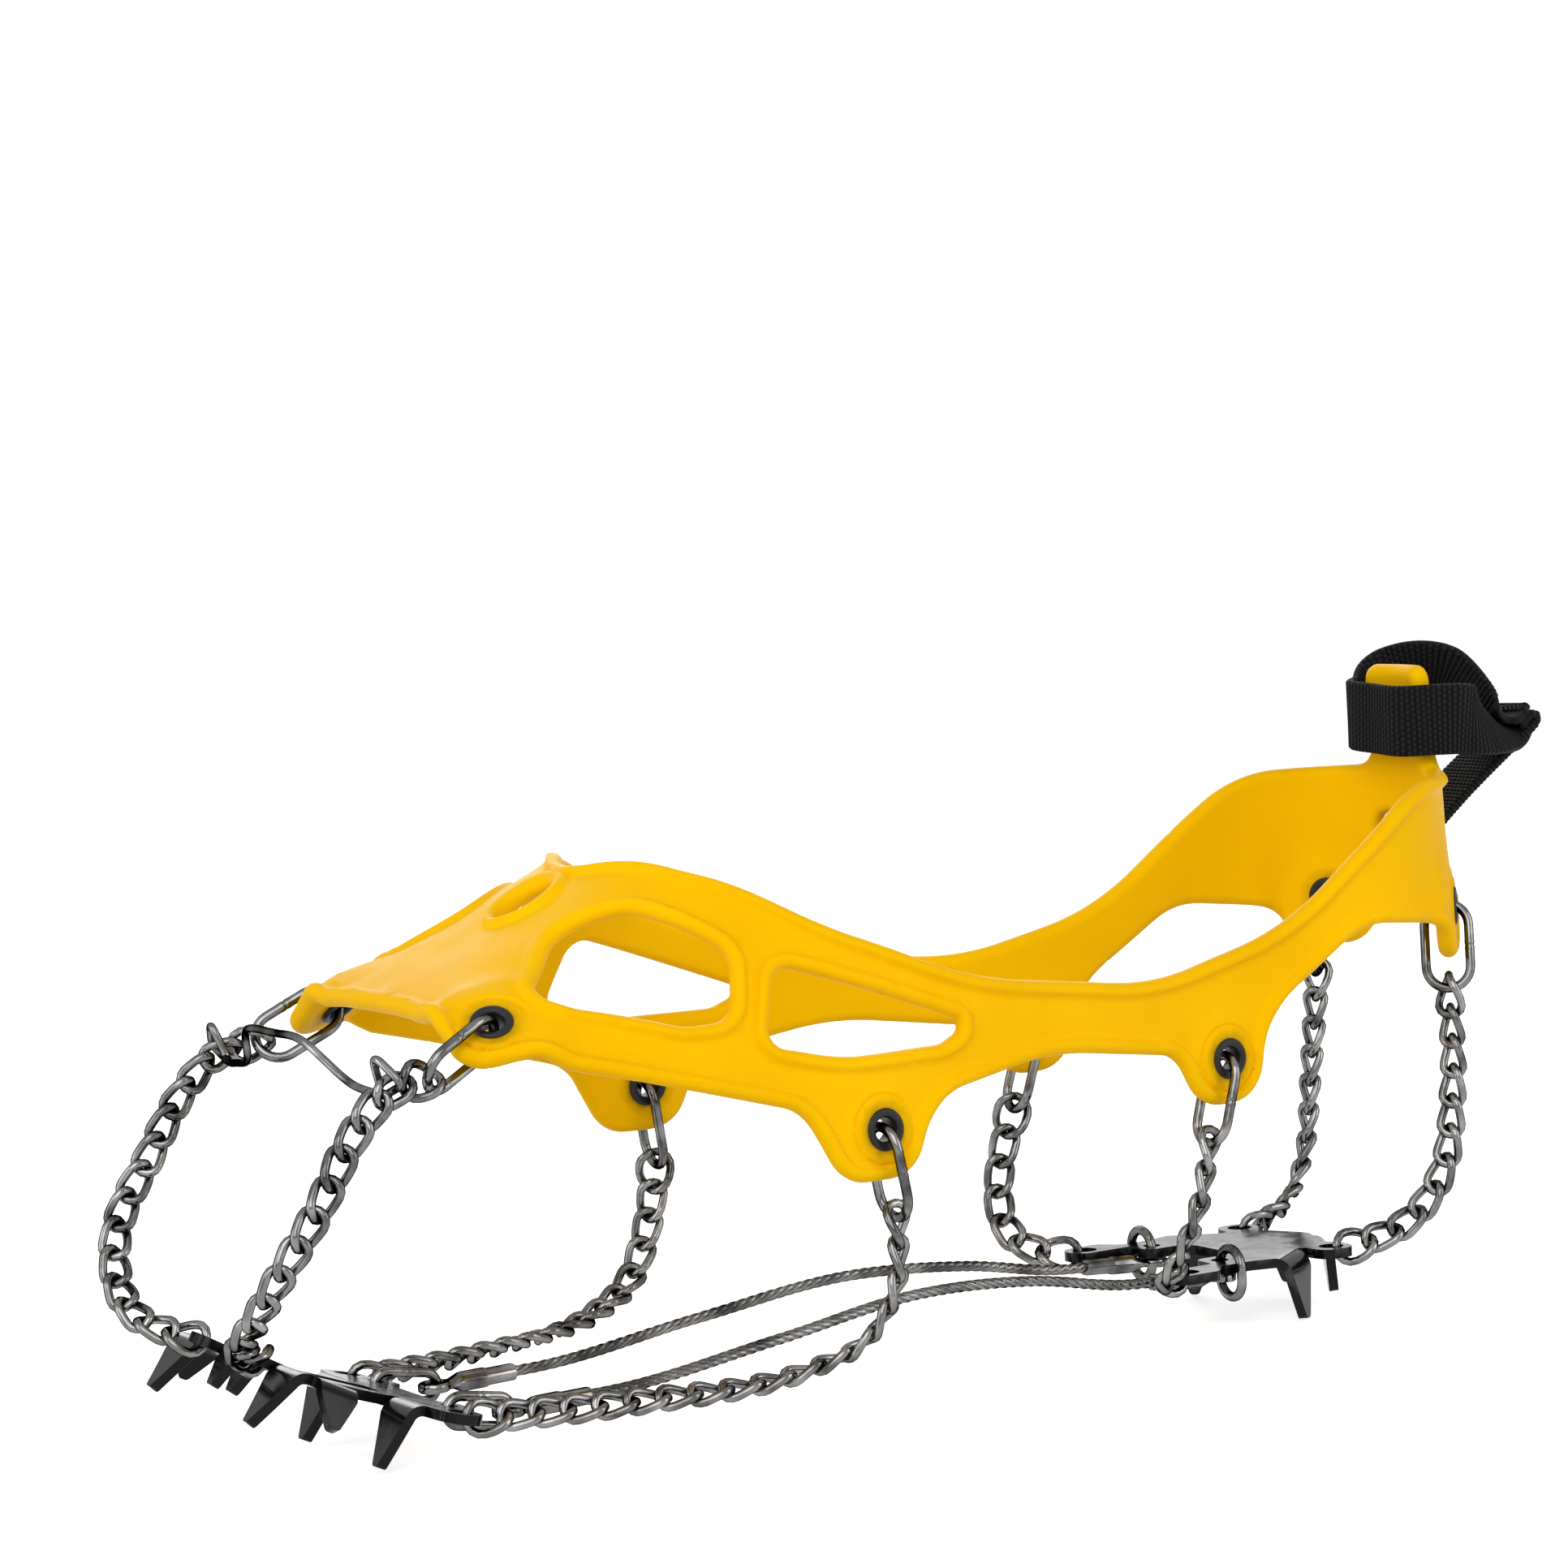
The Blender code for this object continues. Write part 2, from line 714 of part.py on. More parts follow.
def chain_frame(station):
    """Bearing points of a left chain from its ring to its plate, and the roll of each link."""
    pivot, pull, _, across = ring_frame(station)
    ring_end = pivot + pull * (ring_length - ring_wire)
    start = ring_end - pull * (ring_wire / 2.0 + ring_gap / 2.0)
    hole, sheet_normal = plate_ears[station]()
    inward = unit(np.asarray(chain_routes[station][-1]) - hole)
    inward = unit(inward - sheet_normal * np.dot(inward, sheet_normal))
    end = hole + inward * (ear_hole_radius - ear_gap / 2.0)
    fine, lengths = smooth_route([start, *chain_routes[station][1:], end], 1.0)
    count = int(round(lengths[-1] / chain_pitch))
    bearings = [at_length(fine, lengths, lengths[-1] * k / count) for k in range(count + 1)]
    sides = []
    side = across
    previous = pull
    for k in range(count):
        axis = unit(bearings[k + 1] - bearings[k])
        turn_axis = np.cross(previous, axis)
        if np.linalg.norm(turn_axis) > 1e-6:
            angle = math.asin(min(np.linalg.norm(turn_axis), 1.0))
            side = rotate(side, unit(turn_axis), angle)
        side = unit(side - axis * np.dot(side, axis))
        sides.append(side)
        previous = axis
    axis = unit(bearings[-1] - bearings[-2])
    wanted = unit(sheet_normal - axis * np.dot(sheet_normal, axis))
    last = rotate(sides[-1], axis, -link_twist)
    miss = math.atan2(np.dot(axis, np.cross(last, wanted)), np.dot(last, wanted))
    miss = (miss + math.pi / 2.0) % math.pi - math.pi / 2.0
    rolls = [miss * k / max(count - 1, 1) - link_twist / 2.0 for k in range(count)]
    return bearings, sides, rolls


def make_chain(name, station, hand):
    """A run of twisted links of square section with the wire's area; links that bear on each other are welded."""
    bearings, sides, rolls = chain_frame(station)
    count = len(rolls)
    half = chain_wire * math.sqrt(math.pi) / 4.0
    flip = np.array([1.0, hand, 1.0])
    verts, faces = [], []
    previous_end = None
    for k in range(count):
        a, b = bearings[k], bearings[k + 1]
        axis = unit(b - a)
        start = a - axis * (half + (ring_gap if k == 0 else weld_gap) / 2.0)
        end = b + axis * (half + (ear_gap if k == count - 1 else weld_gap) / 2.0)
        side = rotate(sides[k], axis, rolls[k])
        if k in (0, count - 1):
            side = side * end_link_scale
        points = link_points(start, end, side)
        link_verts, link_faces = wire(points, half * math.sqrt(8.0), 4, True, (start + end) / 2.0)
        shift = len(verts)
        verts += [v * flip for v in link_verts]
        link_faces = [tuple(i + shift for i in face) for face in link_faces]
        start_face = link_faces[(len(points) - 1) * 4 + 1]
        end_face = link_faces[(len(points) // 2 - 1) * 4 + 1]
        dropped = []
        if k > 0:
            dropped.append(start_face)
            faces += weld(verts, previous_end, start_face)
        if k < count - 1:
            dropped.append(end_face)
        faces += [face for face in link_faces if face not in dropped]
        previous_end = end_face
    return new_object(name, verts, faces, "bright_steel", bearings[0] * flip)


def weld(verts, first, second):
    """Faces that join two facing quads corner to corner, the nearest way round."""
    second = second[::-1]
    turns = [second[s:] + second[:s] for s in range(4)]
    reach = [sum(np.linalg.norm(verts[p] - verts[q]) for p, q in zip(first, turn)) for turn in turns]
    second = turns[int(np.argmin(reach))]
    return [(first[j], first[(j + 1) % 4], second[(j + 1) % 4], second[j]) for j in range(4)]


# Plates

class Fold:
    """A tab bent down from a plate's edge along a line: middle of the line, outward direction and sizes."""

    def __init__(self, middle, outward, base, length, tip, lean):
        self.middle = np.asarray(middle, dtype=float)
        self.outward = unit(outward)
        self.along = np.array([-self.outward[1], self.outward[0]])
        self.base = base
        self.tip = tip
        self.lean = lean
        self.arc = bend_radius * lean
        self.reach = self.arc + length - bend_radius

    def steps(self):
        """Distances from the fold line and the half widths there: the bend, the taper and the blunt tip."""
        half, tip = self.base / 2.0, self.tip / 2.0
        return [(0.0, half), (self.arc / 2.0, half), (self.arc, half * 0.96), (self.reach - 0.8, tip),
                (self.reach, tip * 0.5)]

    def line(self, reverse):
        """The two ends of the fold line."""
        hand = -1.0 if reverse else 1.0
        return [self.middle + self.along * hand * self.base / 2.0, self.middle - self.along * hand * self.base / 2.0]

    def bend(self, away, aside):
        """Place and normal of a blank's point after the fold, in plate coordinates."""
        angle = min(away, self.arc) / bend_radius
        rest = max(away - self.arc, 0.0)
        out = bend_radius * math.sin(angle) + rest * math.cos(angle)
        down = bend_radius * (1.0 - math.cos(angle)) + rest * math.sin(angle)
        flat = self.middle + self.along * aside + self.outward * out
        return np.array([*flat, -down]), np.array([*(self.outward * math.sin(angle)), math.cos(angle)])


def spike_fold(middle, outward, lean):
    return Fold(middle, outward, spike_base, spike_length, spike_tip, lean)


def half_outline(items):
    """Points of half an outline from corners and folds in order, and the place of each fold line."""
    points = []
    marks = []
    corners = []
    for item in items:
        if isinstance(item, Fold):
            reverse = np.dot(item.along, np.asarray(corners[-1][:2]) - item.middle) < 0.0
            ends = item.line(reverse)
            corners.append((*ends[0], 0.0))
            points += rounded_outline(corners, arc_step)[:-1]
            marks.append((item, len(points), -1.0 if reverse else 1.0))
            points.append(ends[0])
            corners = [(*ends[1], 0.0)]
        else:
            corners.append(item)
    return points + rounded_outline(corners, arc_step), marks


def folded_plate(name, items, holes, place):
    """A plate cut out with its holes, with its folded tabs, set in place; given as its left half."""
    half, marks = half_outline(items)
    loop = half + [p * (1.0, -1.0) for p in reversed(half[1:-1])]
    loops = [loop]
    for hole in holes:
        loops.append(hole)
        if np.min(np.asarray(hole)[:, 1]) > 0.0:
            loops.append([p * (1.0, -1.0) for p in reversed(hole)])
    flat, triangles = triangulate(loops, [])
    thick = plate_thickness / 2.0
    verts = [place(np.array([p[0], p[1], h])) for h in (thick, -thick) for p in flat]
    count = len(flat)
    faces = []
    sides = {}
    for face in triangles:
        faces.append(face)
        faces.append(tuple(i + count for i in reversed(face)))
        for k in range(3):
            edge = (face[k], face[(k + 1) % 3])
            sides[frozenset(edge)] = None if frozenset(edge) in sides else edge
    for fold, index, hand in marks:
        first, second = index, index + 1
        for flip in (1.0, -1.0):
            if flip < 0.0:
                first, second = len(loop) - first, len(loop) - second
            sides[frozenset((first, second))] = None
            previous = [first, second, second + count, first + count]
            for away, half_width in fold.steps()[1:]:
                start = len(verts)
                for aside, side in ((hand, 1.0), (-hand, 1.0), (-hand, -1.0), (hand, -1.0)):
                    spot, normal = fold.bend(away, aside * half_width)
                    verts.append(place((spot + normal * side * thick) * (1.0, flip, 1.0)))
                ring = [start, start + 1, start + 2, start + 3]
                for k in range(4):
                    n = (k + 1) % 4
                    faces.append((previous[k], previous[n], ring[n], ring[k]))
                previous = ring
            faces.append(tuple(previous))
    for edge in sides.values():
        if edge is not None:
            a, b = edge
            faces.append((b, a, a + count, b + count))
    return new_object(name, verts, faces, "black_steel")


def circle(centre, radius, sides):
    """Outline of a hole whose flats touch the given radius."""
    radius = radius / math.cos(math.pi / sides)
    angles = 2.0 * math.pi * (np.arange(sides) + 0.5) / sides
    return [np.array([centre[0] + radius * math.cos(a), centre[1] + radius * math.sin(a)]) for a in angles]


def place_front(point):
    """Plate coordinates to the frame: the plate rolls up towards the toe."""
    turn = point[0] / front_plate_roll_radius
    slope = front_plate_slope + turn
    x = front_plate_x + front_plate_roll_radius * (math.sin(slope) - math.sin(front_plate_slope))
    z = front_plate_z + front_plate_roll_radius * (math.cos(front_plate_slope) - math.cos(slope))
    return np.array([x - point[2] * math.sin(slope), point[1], z + point[2] * math.cos(slope)])


def place_heel(point):
    return np.array([heel_plate_x + point[0], point[1], heel_plate_z + point[2]])


def plate_hole(place, spot):
    """Centre of a hole in the frame, and the sheet's normal there."""
    centre = place(np.array([spot[0], spot[1], 0.0]))
    return centre, unit(place(np.array([spot[0], spot[1], 1.0])) - centre)


def front_row(index):
    """Centre of a piece of the front row: inner spike, chain ear or front spike. Its gaps share what the wing leaves."""
    pieces = (small_spike_base, 2.0 * toe_ear_half_width, spike_base)
    share = (front_wing_half_width - sum(pieces)) / sum(front_row_gaps)
    return sum(front_row_gaps[:index + 1]) * share + sum(pieces[:index]) + pieces[index] / 2.0


front_chain_ear = (front_edge_line + 2.2, front_row(1))
mid_chain_ear = (5.6, 25.0)
front_cable_hole = (3.4, cable_offset)
heel_chain_ear = (heel_arm_end - 4.2, (heel_arm_inner + heel_arm_outer) / 2.0)
rear_chain_ear = (6.2, 16.4)
heel_cable_hole = (heel_waist_run, heel_cable_offset)

plate_ears = {
    "front": lambda: plate_hole(place_front, front_chain_ear),
    "mid": lambda: plate_hole(place_front, mid_chain_ear),
    "heel": lambda: plate_hole(place_heel, heel_chain_ear),
    "rear": lambda: plate_hole(place_heel, rear_chain_ear),
}

# Chain routes on the left side: first the point that its ring is pulled to, then the bends on the way
chain_routes = {
    "front": ((104.0, 40.5, 78.0), (109.5, 39.0, 74.5), (118.0, 39.5, 67.0), (125.5, 40.0, 55.0), (132.5, 39.0, 45.0),
              (136.5, 33.0, 35.0), (136.5, 24.0, 28.0)),
    "mid": ((10.1, 50.5, 39.2), (12.5, 49.5, 26.0), (18.5, 47.0, 16.0), (28.0, 43.0, 11.8), (62.0, 33.0, 9.0)),
    "heel": ((-70.0, 38.5, 42.0), (-66.5, 37.0, 31.0), (-63.5, 33.5, 20.0), (-64.5, 26.0, 14.0)),
    "rear": ((-142.5, 25.0, 63.0), (-139.5, 25.0, 42.0), (-136.0, 24.0, 25.0), (-130.0, 21.5, 17.0)),
}


def make_front_plate():
    tall = math.radians(82.0)
    rear_spike = spike_fold((rear_wing_run, 16.6), (1.0, 0.0), tall)
    front_spike = spike_fold((front_edge_line, front_row(2)), (1.0, 0.0), math.radians(76.0))
    side_spike = Fold((34.4, front_wing_half_width), (0.0, 1.0), side_spike_base, side_spike_length, spike_tip,
                      math.radians(64.0))
    inner_spike = Fold((front_edge_line - 1.0, front_row(0)), (1.0, 0.0), small_spike_base, small_spike_length,
                       spike_tip, tall)
    tab, ear, toe_ear = front_cable_hole, mid_chain_ear, front_chain_ear
    half = [
        (front_bar_run, 0.0, 0.0),
        (front_bar_run, tab[1] - 5.2, 1.6),
        (tab[0] - 3.8, tab[1] - 3.8, 3.0),
        (tab[0] - 3.8, tab[1] + 3.8, 3.0),
        (ear[0] - 3.4, ear[1] - 4.6, 1.6),
        (ear[0] - 4.4, ear[1] + 4.4, 4.0),
        (ear[0] + 4.4, ear[1] + 4.4, 4.0),
        (rear_wing_run, rear_wing_half_width, 1.0),
        rear_spike,
        (rear_wing_run, front_rail_half_width, 0.6),
        (front_wing_run, front_rail_half_width, 3.0),
        (front_wing_run, front_wing_half_width, 1.6),
        side_spike,
        (front_edge_line, front_wing_half_width, 0.8),
        front_spike,
        (front_edge_line, toe_ear[1] + toe_ear_half_width, 0.6),
        (toe_ear[0] + 4.2, toe_ear[1] + 3.8, 3.4),
        (toe_ear[0] + 4.2, toe_ear[1] - 3.8, 3.4),
        (front_edge_line - 1.0, toe_ear[1] - toe_ear_half_width, 0.6),
        inner_spike,
        (front_edge_line - 1.0, 0.0, 0.0),
    ]
    window = closed_outline([
        (rear_wing_run + 0.5, -front_window_half_width, 3.0),
        (front_wing_run + 1.0, -front_window_half_width, 3.0),
        (front_wing_run + 1.0, front_window_half_width, 3.0),
        (rear_wing_run + 0.5, front_window_half_width, 3.0),
    ], arc_step)
    holes = [window, circle(tab, link_hole_radius, hole_sides), circle(ear, ear_hole_radius, hole_sides),
             circle(toe_ear, ear_hole_radius, hole_sides)]
    return folded_plate("front_plate", half, holes, place_front)


def make_heel_plate():
    tall = math.radians(84.0)
    side_spike = spike_fold((18.2, 16.8), (-0.55, 0.835), tall)
    rear_spike = Fold((3.0, 6.4), (-0.875, 0.485), side_spike_base, spike_length - 2.0, spike_tip, tall)
    ear = rear_chain_ear
    half = [
        (0.0, 0.0, 0.0),
        (0.4, 1.6, 0.5),
        rear_spike,
        (ear[0] - 4.0, ear[1] - 3.4, 1.5),
        (ear[0] - 4.2, ear[1] + 4.2, 4.0),
        (ear[0] + 4.2, ear[1] + 4.2, 4.0),
        (ear[0] + 5.0, ear[1] - 3.0, 1.0),
        side_spike,
        (heel_waist_run - heel_waist_half_length, heel_waist_outer, 2.0),
        (heel_waist_run + heel_waist_half_length, heel_waist_outer, 2.0),
        (heel_waist_run + heel_waist_half_length * 2.0, heel_arm_outer, 2.0),
        (heel_arm_end, heel_arm_outer, 3.4),
        (heel_arm_end, heel_arm_inner, 3.4),
        (heel_waist_run + heel_waist_half_length, heel_arm_inner, 0.8),
        (heel_waist_run + heel_waist_half_length, heel_waist_inner, 2.0),
        (heel_bay_run, heel_waist_inner, 5.0),
        (heel_bay_run, 0.0, 0.0),
    ]
    holes = [circle(ear, ear_hole_radius, hole_sides), circle(heel_chain_ear, ear_hole_radius, hole_sides),
             circle(heel_cable_hole, link_hole_radius, hole_sides)]
    return folded_plate("heel_plate", half, holes, place_heel)


# Cables and their fittings

def front_link_centre():
    hole, _ = plate_hole(place_front, front_cable_hole)
    back = unit((-1.0, 0.0, -0.16))
    radius = (cable_link_length - cable_link_wire) / 2.0
    return hole + back * (radius - (link_hole_radius - cable_link_wire / 2.0 - seat_gap)), back


def front_terminal_frame():
    """Centre of the terminal's eye and the terminal's direction, pointing back along the cable."""
    centre, back = front_link_centre()
    reach = (cable_link_length - cable_link_wire) / 2.0
    return centre + back * (reach - (link_hole_radius - cable_link_wire / 2.0 - seat_gap)), unit((-1.0, 0.0, 0.03))


def heel_terminal_frame():
    hole, _ = plate_hole(place_heel, heel_cable_hole)
    drop = plate_thickness / 2.0 + ear_gap + terminal_eye_thickness / 2.0
    return hole - np.array([0.0, 0.0, drop]), unit((1.0, 0.0, 0.06))


def make_terminal(name, eye, along, hand):
    """Swaged sleeve that flattens into an eye with a hole for its link."""
    across = np.array([0.0, 1.0, 0.0])
    up = np.cross(along, across)
    radius = terminal_diameter / 2.0
    length = terminal_eye_length + terminal_length
    eye_end = terminal_eye_width / 2.0
    sections = [
        (-eye_end, 1.3, terminal_eye_thickness / 2.0),
        (-eye_end * 0.5, eye_end * 0.87, terminal_eye_thickness / 2.0),
        (0.0, eye_end, terminal_eye_thickness / 2.0),
        (terminal_eye_length * 0.45, eye_end * 0.9, terminal_eye_thickness / 2.0),
        (terminal_eye_length - eye_end, radius, radius),
        (length * 0.62, radius, radius),
        (length * 0.7, radius * 0.86, radius * 0.86),
        (length - eye_end, radius * 0.86, radius * 0.86),
    ]
    rings = []
    for a, half_width, half_height in sections:
        ring = []
        for k in range(8):
            angle = 2.0 * math.pi * (k + 0.5) / 8
            ring.append(eye + along * a + across * half_width * math.cos(angle) / math.cos(math.pi / 8.0)
                        + up * half_height * math.sin(angle) / math.cos(math.pi / 8.0))
        rings.append([p * (1.0, hand, 1.0) for p in ring])
    verts, faces = loft(rings, False)
    terminal = new_object(name, verts, faces, "bright_steel")
    bore = link_hole_radius / math.cos(math.pi / hole_sides)
    drill = [[(eye + up * h + bore * (along * math.cos(a) + across * math.sin(a))) * (1.0, hand, 1.0)
              for a in 2.0 * math.pi * np.arange(hole_sides) / hole_sides]
             for h in (-terminal_diameter, terminal_diameter)]
    verts, faces = loft(drill, False)
    cutter = new_object(name + "_hole", verts, faces, "bright_steel")
    cutter.hide_render = True
    cutter.display_type = "WIRE"
    modifier = terminal.modifiers.new("hole", "BOOLEAN")
    modifier.operation = "DIFFERENCE"
    modifier.solver = "EXACT"
    modifier.object = cutter
    return terminal


def terminal_end(eye, along):
    return eye + along * (terminal_eye_length + terminal_length - terminal_eye_width / 2.0 + seat_gap)


def make_cable(name, hand):
    front_eye, back = front_terminal_frame()
    heel_eye, ahead = heel_terminal_frame()
    start, end = terminal_end(front_eye, back), terminal_end(heel_eye, ahead)
    arch = [(20.0, cable_offset, 12.5), (-15.0, (cable_offset + heel_cable_offset) / 2.0, 16.6),
            (-42.0, heel_cable_offset, 15.0)]
    fine, _ = smooth_route([start, start + back * 6.0, *arch, end + ahead * 6.0, end], 8.0)
    verts, faces = wire(fine, cable_diameter, 6, False)
    return new_object(name, [v * (1.0, hand, 1.0) for v in verts], faces, "bright_steel")


def make_oblong_link(name, centre, long_axis, short_axis, length, width, wire_size, origin, hand):
    points = [centre + long_axis * a + short_axis * b for a, b in oblong(length - wire_size, width - wire_size, 4)]
    verts, faces = wire(points, wire_size, 6, True, centre)
    return new_object(name, [v * (1.0, hand, 1.0) for v in verts], faces, "bright_steel", origin * (1.0, hand, 1.0))


def heel_link_frame():
    """Centre of the upright link that ties the heel terminal under the heel plate; one leg is in both holes."""
    hole, _ = plate_hole(place_heel, heel_cable_hole)
    eye, _ = heel_terminal_frame()
    middle = (hole + eye) / 2.0
    return middle + np.array([0.0, (heel_link_width - cable_link_wire) / 2.0, 0.0]), hole


# Toe bail

def bail_link():
    """Centre, axis and lateral direction of the front chain's link that the left eye hooks round."""
    bearings, sides, rolls = chain_frame("front")
    axis = unit(bearings[2] - bearings[1])
    side = rotate(sides[1], axis, rolls[1])
    middle = (bearings[1] + bearings[2]) / 2.0
    inward = np.array([bail_crown[0], 0.0, bail_crown[1]]) - middle
    if np.dot(side, inward) < 0.0:
        side = -side
    through = np.cross(axis, side)
    if np.dot(through, inward) < 0.0:
        through = -through
    return middle + axis * bail_shift, side, through


def make_bail():
    """One wire over the toes; each end is bent into a three-cornered eye round a leg of a link."""
    middle, side, through = bail_link()
    near = middle + through * bail_eye_base / 2.0
    far = middle - through * bail_eye_base / 2.0
    peak = middle + side * bail_eye_height
    closing = near + unit(peak - near) * bail_eye_gap
    crown = np.array([bail_crown[0], 0.0, bail_crown[1]])
    away = unit(near + np.array([1.0, -10.0, 1.2]) - near)
    arch = [crown, crown + np.array([0.0, 12.0, -0.3]), near + away * 10.0, near + away * 4.0]
    fine, _ = smooth_route(arch, 4.5)
    eye = rounded_outline_3d([fine[-1], near, far, peak, closing], bail_bend)
    half = [*fine[:-1], *eye]
    line = [p * (1.0, -1.0, 1.0) for p in reversed(half[1:])] + half
    verts, faces = wire(line, bail_wire, 6, False)
    return new_object("toe_bail", verts, faces, "bright_steel", middle * (1.0, 0.0, 1.0))


def rounded_outline_3d(points, reach):
    """A polyline in space with each inner corner cut to three points."""
    result = [points[0]]
    for i in range(1, len(points) - 1):
        back, ahead = points[i - 1] - points[i], points[i + 1] - points[i]
        cut = min(reach, np.linalg.norm(back) * 0.45, np.linalg.norm(ahead) * 0.45)
        start, end = points[i] + unit(back) * cut, points[i] + unit(ahead) * cut
        result += [start, (start + end) / 4.0 + points[i] / 2.0, end]
    return result + [points[-1]]


# Pull strap

def make_strap():
    """Webbing band: out of the heel slot to the sewn end, forward on the left, round the tab's neck and back."""
    slot = form_point(heel_back_run, heel_slot_low + heel_slot_height / 2.0)
    neck = form_point(heel_back_run, strap_neck_girth)
    layer = strap_thickness + seat_gap
    inner = neck[0] + panel_thickness + strap_inner_slack + strap_thickness / 2.0
    sewn = slot + np.array([-29.0, 0.0, 22.5])
    rise = unit(sewn - slot)
    lift = np.array([rise[2], 0.0, -rise[0]])
    aside = tab_half_width + tab_flare + strap_slack + strap_thickness / 2.0
    flat, slant, tall = (0.0, 1.0, 0.0), (0.0, 0.72, -0.7), (0.0, 0.0, -1.0)
    back_slant, back_flat = (0.0, -0.72, -0.7), (0.0, -1.0, 0.0)
    height = neck[2]
    route = [
        (slot - rise * 7.0 + lift * strap_slot_lift, flat),
        (slot + lift * strap_slot_lift, flat),
        (slot + rise * 14.0 + lift * strap_slot_lift, flat),
        (sewn - rise * 5.0, flat),
        (sewn - rise * 0.8, flat),
        (sewn + rise * 0.3 + lift * layer / 2.0, flat),
        (sewn - rise * 0.8 + lift * layer, flat),
        (sewn - rise * 5.0 + lift * layer * 1.05, flat),
        ((slot[0] - 15.0, aside * 0.62, height - 2.5), slant),
        ((slot[0] - 5.0, aside * 1.02, height - 0.5), tall),
        ((neck[0] + 1.0, aside, height), tall),
        ((inner - 0.2, aside * 0.62, height), tall),
        ((inner, 0.0, height + 0.4), tall),
        ((inner - 0.2, -aside * 0.62, height + 1.0), tall),
        ((neck[0] + 1.0, -aside, height + 2.0), tall),
        ((slot[0] - 6.0, -aside * 1.05, height + 7.0), tall),
        ((slot[0] - 16.0, -aside * 0.62, height + 8.0), back_slant),
        (sewn - rise * 5.0 + lift * layer * 2.6, back_flat),
        (sewn - rise * 0.8 + lift * layer * 2.05, back_flat),
    ]
    points = np.array([p for p, _ in route], dtype=float)
    widths = np.array([w for _, w in route], dtype=float)
    rings = []
    for i in range(len(points) - 1):
        pieces = max(int(np.linalg.norm(points[i + 1] - points[i]) / strap_step + 0.5), 1)
        for k in range(pieces + (i == len(points) - 2)):
            s = i + k / pieces
            stations = np.arange(len(points), dtype=float)
            spot = np.array([smooth_value(stations, points[:, c], s) for c in range(3)])
            ahead = np.array([smooth_value(stations, points[:, c], s + 0.02) for c in range(3)])
            behind = np.array([smooth_value(stations, points[:, c], s - 0.02) for c in range(3)])
            along = unit(ahead - behind)
            width = np.array([smooth_value(stations, widths[:, c], s) for c in range(3)])
            width = unit(width - along * np.dot(width, along)) * strap_width / 2.0
            thick = np.cross(along, unit(width)) * strap_thickness / 2.0
            rings.append([spot + width + thick, spot - width + thick, spot - width - thick, spot + width - thick])
    verts, faces = loft(rings, False)
    return new_object("heel_strap", verts, faces, "webbing_black", (inner, 0.0, height))


def stand_on_origin():
    """Moves the whole object so that the middle of its underside is the origin."""
    bpy.context.view_layer.update()
    graph = bpy.context.evaluated_depsgraph_get()
    corners = []
    for obj in root.children:
        if not obj.hide_render:
            evaluated = obj.evaluated_get(graph)
            corners += [evaluated.matrix_world @ vertex.co for vertex in evaluated.data.vertices]
    corners = np.array(corners)
    low, high = corners.min(axis=0), corners.max(axis=0)
    root.location = (-(low[0] + high[0]) / 2.0, -(low[1] + high[1]) / 2.0, -low[2])


def root_empty():
    empty = bpy.data.objects.new("frame", None)
    bpy.context.scene.collection.objects.link(empty)
    return empty


clear_scene()
materials_made = {name: make_material(name) for name in materials}
root = root_empty()

make_harness()
for station in eyelets:
    for hand, label in ((1.0, "left"), (-1.0, "right")):
        flip = np.array([1.0, hand, 1.0])
        eyelet, eyelet_normal, _ = eyelet_frame(station)
        make_grommet(f"grommet_{station}_{label}", eyelet * flip, eyelet_normal * flip)
        make_ring(f"ring_{station}_{label}", station, hand)
        make_chain(f"chain_{station}_{label}", station, hand)
make_front_plate()
make_heel_plate()
for hand, label in ((1.0, "left"), (-1.0, "right")):
    make_terminal(f"front_terminal_{label}", *front_terminal_frame(), hand)
    make_terminal(f"heel_terminal_{label}", *heel_terminal_frame(), hand)
    make_cable(f"cable_{label}", hand)
    link_centre, link_back = front_link_centre()
    link_up = np.cross(link_back, (0.0, 1.0, 0.0))
    make_oblong_link(f"front_cable_link_{label}", link_centre, link_back, link_up, cable_link_length, cable_link_width,
                     cable_link_wire, plate_hole(place_front, front_cable_hole)[0], hand)
    upright_centre, upright_hole = heel_link_frame()
    make_oblong_link(f"heel_cable_link_{label}", upright_centre, np.array([0.0, 0.0, 1.0]), np.array([0.0, 1.0, 0.0]),
                     heel_link_height, heel_link_width, cable_link_wire, upright_hole, hand)
make_bail()
make_strap()
stand_on_origin()
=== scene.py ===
"""Looks of the microspikes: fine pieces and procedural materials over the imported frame.

Sizes are in millimetres in the same frame as the part's source, +X to the toe, +Y left, +Z up,
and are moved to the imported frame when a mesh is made."""

import math

import bmesh
import bpy
import numpy as np
from mathutils import Matrix, Vector
from mathutils.geometry import delaunay_2d_cdt


